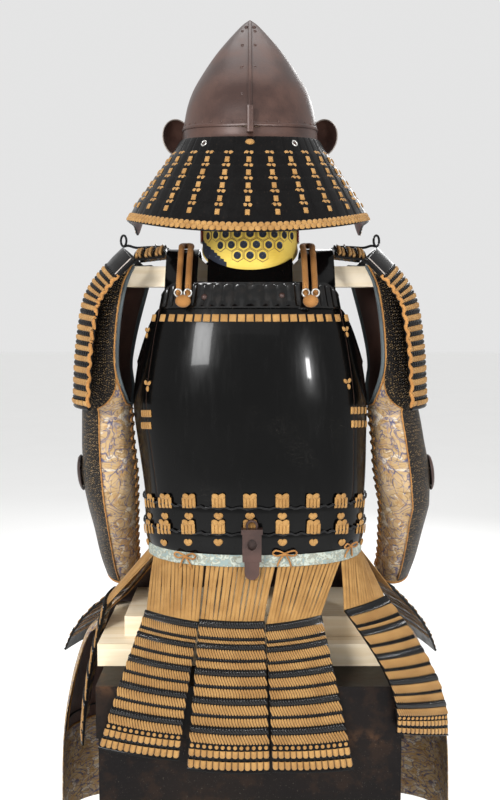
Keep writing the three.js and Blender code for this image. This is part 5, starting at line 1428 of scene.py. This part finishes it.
def make_sleeves():
    for name, sign in SIDES:
        def base(u, v):
            p = arm_point(around(u, v), v)
            out = 30 * np.clip((870 - p[..., 2]) / 170, 0, 1) if sign > 0 else 0
            return stack(sign * (p[..., 0] + out), p[..., 1], p[..., 2])

        def core(row):
            return np.stack([sign * (arm(row, "x") + (15 if sign > 0 else 0)), arm(row, "y")], -1)

        def folded(u, v):
            return crease(around(u, v), v, CREASES[name]) * smooth(v, 0.2, 1.2)

        def mail_edge(v):
            return mix(0.03, 0.275, smooth(v, 3.0, 4.9))

        steps = (0.01, 0.05)
        u = np.linspace(0, 1, 73)[None, :]
        v = np.linspace(0, 11, 111)[:, None]
        folds = folded(u, v)
        piece = Piece()
        uv = stack((around(u, v) + 180) / 360 * 0.29, 0 * u + v * 0.053)
        middle = tuple(core(5))
        front, _ = wall(piece, base, u, v, folds - 0.2, folds - 1.6, steps, middle, inside=1, uv=uv)
        sleeve = piece.make(f"brocade_sleeve_{name}", [BROCADE, LINING], [f"sleeve_{name}"])
        cloth(front)

        piece = Piece()
        mail_v = np.linspace(0.5, 10.85, 100)[:, None]
        mail_u = mix(mail_edge(mail_v), 1 - mail_edge(mail_v), np.linspace(0, 1, 56)[None, :])
        over = folded(mail_u, mail_v)
        wall(piece, base, mail_u, mail_v, over + 2.4, over + 0.8, steps, middle)
        for far in (False, True):
            edge = np.linspace(0.6, 10.8, 80)
            end = 1 - mail_edge(edge) if far else mail_edge(edge)
            line = base(end, edge)
            side = turned(facing(base, end, edge, *steps), line[:, :2] - core(edge))
            cord(piece, line + side * (1.6 + folded(end, edge))[:, None], 1.2, 3, 6, 1.6, 2, 0.5, 2)
        spot, right, up = spot_on(base, 0.5, 7.15, 2.2, steps)
        face = np.cross(right, up)
        if face[0] * sign < 0:
            right, face = -right, -face
            spot = spot + face * 4.4
        pad(piece, spot + face * 0.6, right, up, 42, 66, 8, 1, power=2, n=15)
        for dx, dy in ((0, 27), (0, -27), (15, 0), (-15, 0)):
            pad(piece, spot + face * 3 + right * dx + up * dy, right, up, 6, 6, 3, 2, power=2)
        piece.make(f"mail_{name}", [MAIL, DARK_IRON, SILVER, PIPING], [f"mail_panel_{name}"])

        trim = Piece()
        for end in (0.0, 1.0):
            vv = np.linspace(0.05, 4.9, 60)
            line = base(np.full_like(vv, end), vv)
            cord(trim, line[::2], 3.4, 0, 8, step=4, flat=0.7)
            beside = np.full_like(vv, 0.03 + 0.94 * end)
            inner = base(beside, vv)
            face = turned(facing(base, beside, vv, *steps), inner[:, :2] - [sign * 220, 0])
            cord(trim, (inner + face * 1.2)[::2], 1.5, 1, 6, *PLY, 2.5)
        uu = np.linspace(0, 1, 40)
        cord(trim, base(uu, np.zeros_like(uu))[::2], 3.0, 0, 8, step=4, flat=0.7)
        cord(trim, base(uu, np.full_like(uu, 10.99))[::2], 2.4, 1, 8, *PLY, 2.5)
        vv = np.linspace(5.0, 10.6, 40)
        zig = np.where(np.arange(40) % 2 == 0, 0.004, 0.055)
        line = base(zig, vv)
        face = turned(facing(base, zig, vv, *steps), line[:, :2] - core(vv))
        cord(trim, line + face * 1.6, 1.9, 1, 6, *PLY, 2.5)
        trim.make(f"sleeve_trim_{name}", [BLUE_PIPING, PIPING])


make_sleeves()


# The thigh apron: two brocade panels with a dark lining inside.
APRON = rows("v z y0 c1x c1y c2x c2y x2 y2", (0, 642, 129.4, 60, 129.4, 160, 108, 169.2, 13),
             (1, 600, 127, 70, 128, 162, 118, 182, 20), (2, 534, 146, 120, 150, 219, 141, 226, 56),
             (2.5, 506, 162, 150, 164, 264, 152, 252, 74), (3, 469, 205, 170, 213, 307, 260, 274, 86),
             (4, 440, 222, 160, 226, 318, 252, 300, 88), (5, 350, 230, 170, 236, 345, 272, 330, 97),
             (6, 240, 233, 175, 242, 372, 285, 350, 103), (7, 70, 236, 178, 246, 384, 292, 356, 106))
FOLDS = {"left": [(0.93, 4.6, 0.05, 1.2, 3.0), (0.8, 5.4, 0.06, 1.4, -3.0), (0.62, 4.9, 0.07, 1.3, 2.4),
                  (0.45, 5.6, 0.06, 1.3, -2.6), (0.28, 5.0, 0.07, 1.5, 2.2)],
         "right": [(0.9, 5.0, 0.06, 1.3, -3.0), (0.75, 4.6, 0.05, 1.1, 2.8), (0.57, 5.5, 0.07, 1.4, -2.4),
                   (0.4, 4.8, 0.06, 1.3, 2.6), (0.22, 5.4, 0.07, 1.5, -2.2)]}


def make_aprons():
    for name, sign in SIDES:
        def base(u, v):
            a, b, c, d = (1 - u) ** 3, 3 * u * (1 - u) ** 2, 3 * u * u * (1 - u), u ** 3
            get = lambda column: lookup(APRON, "v", column, v)
            fold = 3.5 * np.sin(u * 15 + v * 0.25) * smooth(v, 2.5, 5) * smooth(u, 0, 0.2)
            x = a * 5 + b * get("c1x") + c * get("c2x") + d * get("x2")
            y = a * get("y0") + b * get("c1y") + c * get("c2y") + d * get("y2")
            wider = 20 * u * smooth(v, 3, 6) if sign > 0 else 0
            return stack(sign * (x + fold * u + wider) + LEAN * (1 - smooth(v, 0, 2)), y + fold * (1 - u), get("z"))

        steps = (0.01, 0.05)
        u, v = np.linspace(0, 1, 73)[None, :], np.linspace(0, 7, 84)[:, None]
        piece = Piece()
        lift = crease(u, v, FOLDS[name], 0)
        front, _ = wall(piece, base, u, v, lift - 0.4, lift - 2.0, steps, (0, 60))
        apron = piece.make(f"brocade_apron_{name}", [BROCADE], [f"apron_panel_{name}"])
        cloth(front)

        piece = Piece()
        u, v = np.linspace(1 / 13, 12 / 13, 61)[None, :], np.linspace(1, 6, 51)[:, None]
        lift = crease(u, v, FOLDS[name], 0)
        front, n = wall(piece, base, u, v, lift - 3.1, lift - 4.7, steps, (0, 60))
        lining = piece.make(f"apron_backing_{name}", [LINING], [f"apron_lining_{name}"])
        cloth(front)

        trim = Piece()
        inner = front - n * 2.6
        for row, radius, finish in ((-1, 2.0, 0), (-3, 2.2, 1)):
            cord(trim, inner[row, ::2], radius, finish, 6, *PLY, 3, flat=0.7)
        cord(trim, inner[::2, -1], 1.8, 0, 6, *PLY, 3, flat=0.7)
        trim.make(f"apron_trim_{name}", [PIPING, BLACK_CORD])


make_aprons()


# The chin guard and the throat lames below it, on the far side.
def make_throat():
    def guard(angle, v):
        radius = COLLAR_R + 2.2
        c = np.cos(np.radians(angle))
        deep = np.where(c > 0, 100, radius)
        top = 1206 - 28 * smooth(np.abs(angle), 60, 10)
        low = 1143 - 6 * smooth(np.abs(angle), 60, 0)
        return stack(radius * np.sin(np.radians(angle)), COLLAR_Y + deep * c, mix(low, top, v))

    piece = Piece()
    angle, v = np.linspace(-104, 104, 120)[None, :], np.linspace(0, 1, 20)[:, None]
    wall(piece, guard, angle, v, 2.2 + 0.7 * bell(v, 0.95, 0.04), 0, (1, 0.01),
         (0, COLLAR_Y), inside=1)
    piece.make("chin_guard", [RED_BROWN, RED], ["cheek_guard"])

    def throat(u, v):
        a = np.radians(52 * u)
        return stack(mix(83.2, 102, v) * np.sin(a), COLLAR_Y + mix(104.4, 148, v) * np.cos(a), mix(1152, 1050, v))

    piece = Piece()
    bands = [[("head", 50), ("loop", 60), ("bar", 20), ("braid", 90)], [("head", 50), ("loop", 60), ("bar", 20),
             ("braid", 90)], [("head", 50), ("loop", 60), ("scallop", 60), ("rim", 20)]]
    laced(piece, throat, PANEL_STEP, bands, 24, 2.0, 2.0)
    piece.make("throat_panel", [SCALE, LACE, GLOSS], ["throat_guard"])


make_throat()

# The solids that keep their own shape.
for node, paint in (("chest_body", CHEST), ("chest_lid", CHEST), ("stand_plank", WOOD), ("stand_board", WOOD),
                    ("stand_post", WOOD), ("stand_bar", WOOD), ("waist_socket", DARK_IRON)):
    for place in bpy.data.objects[node].material_slots:
        place.material = paint
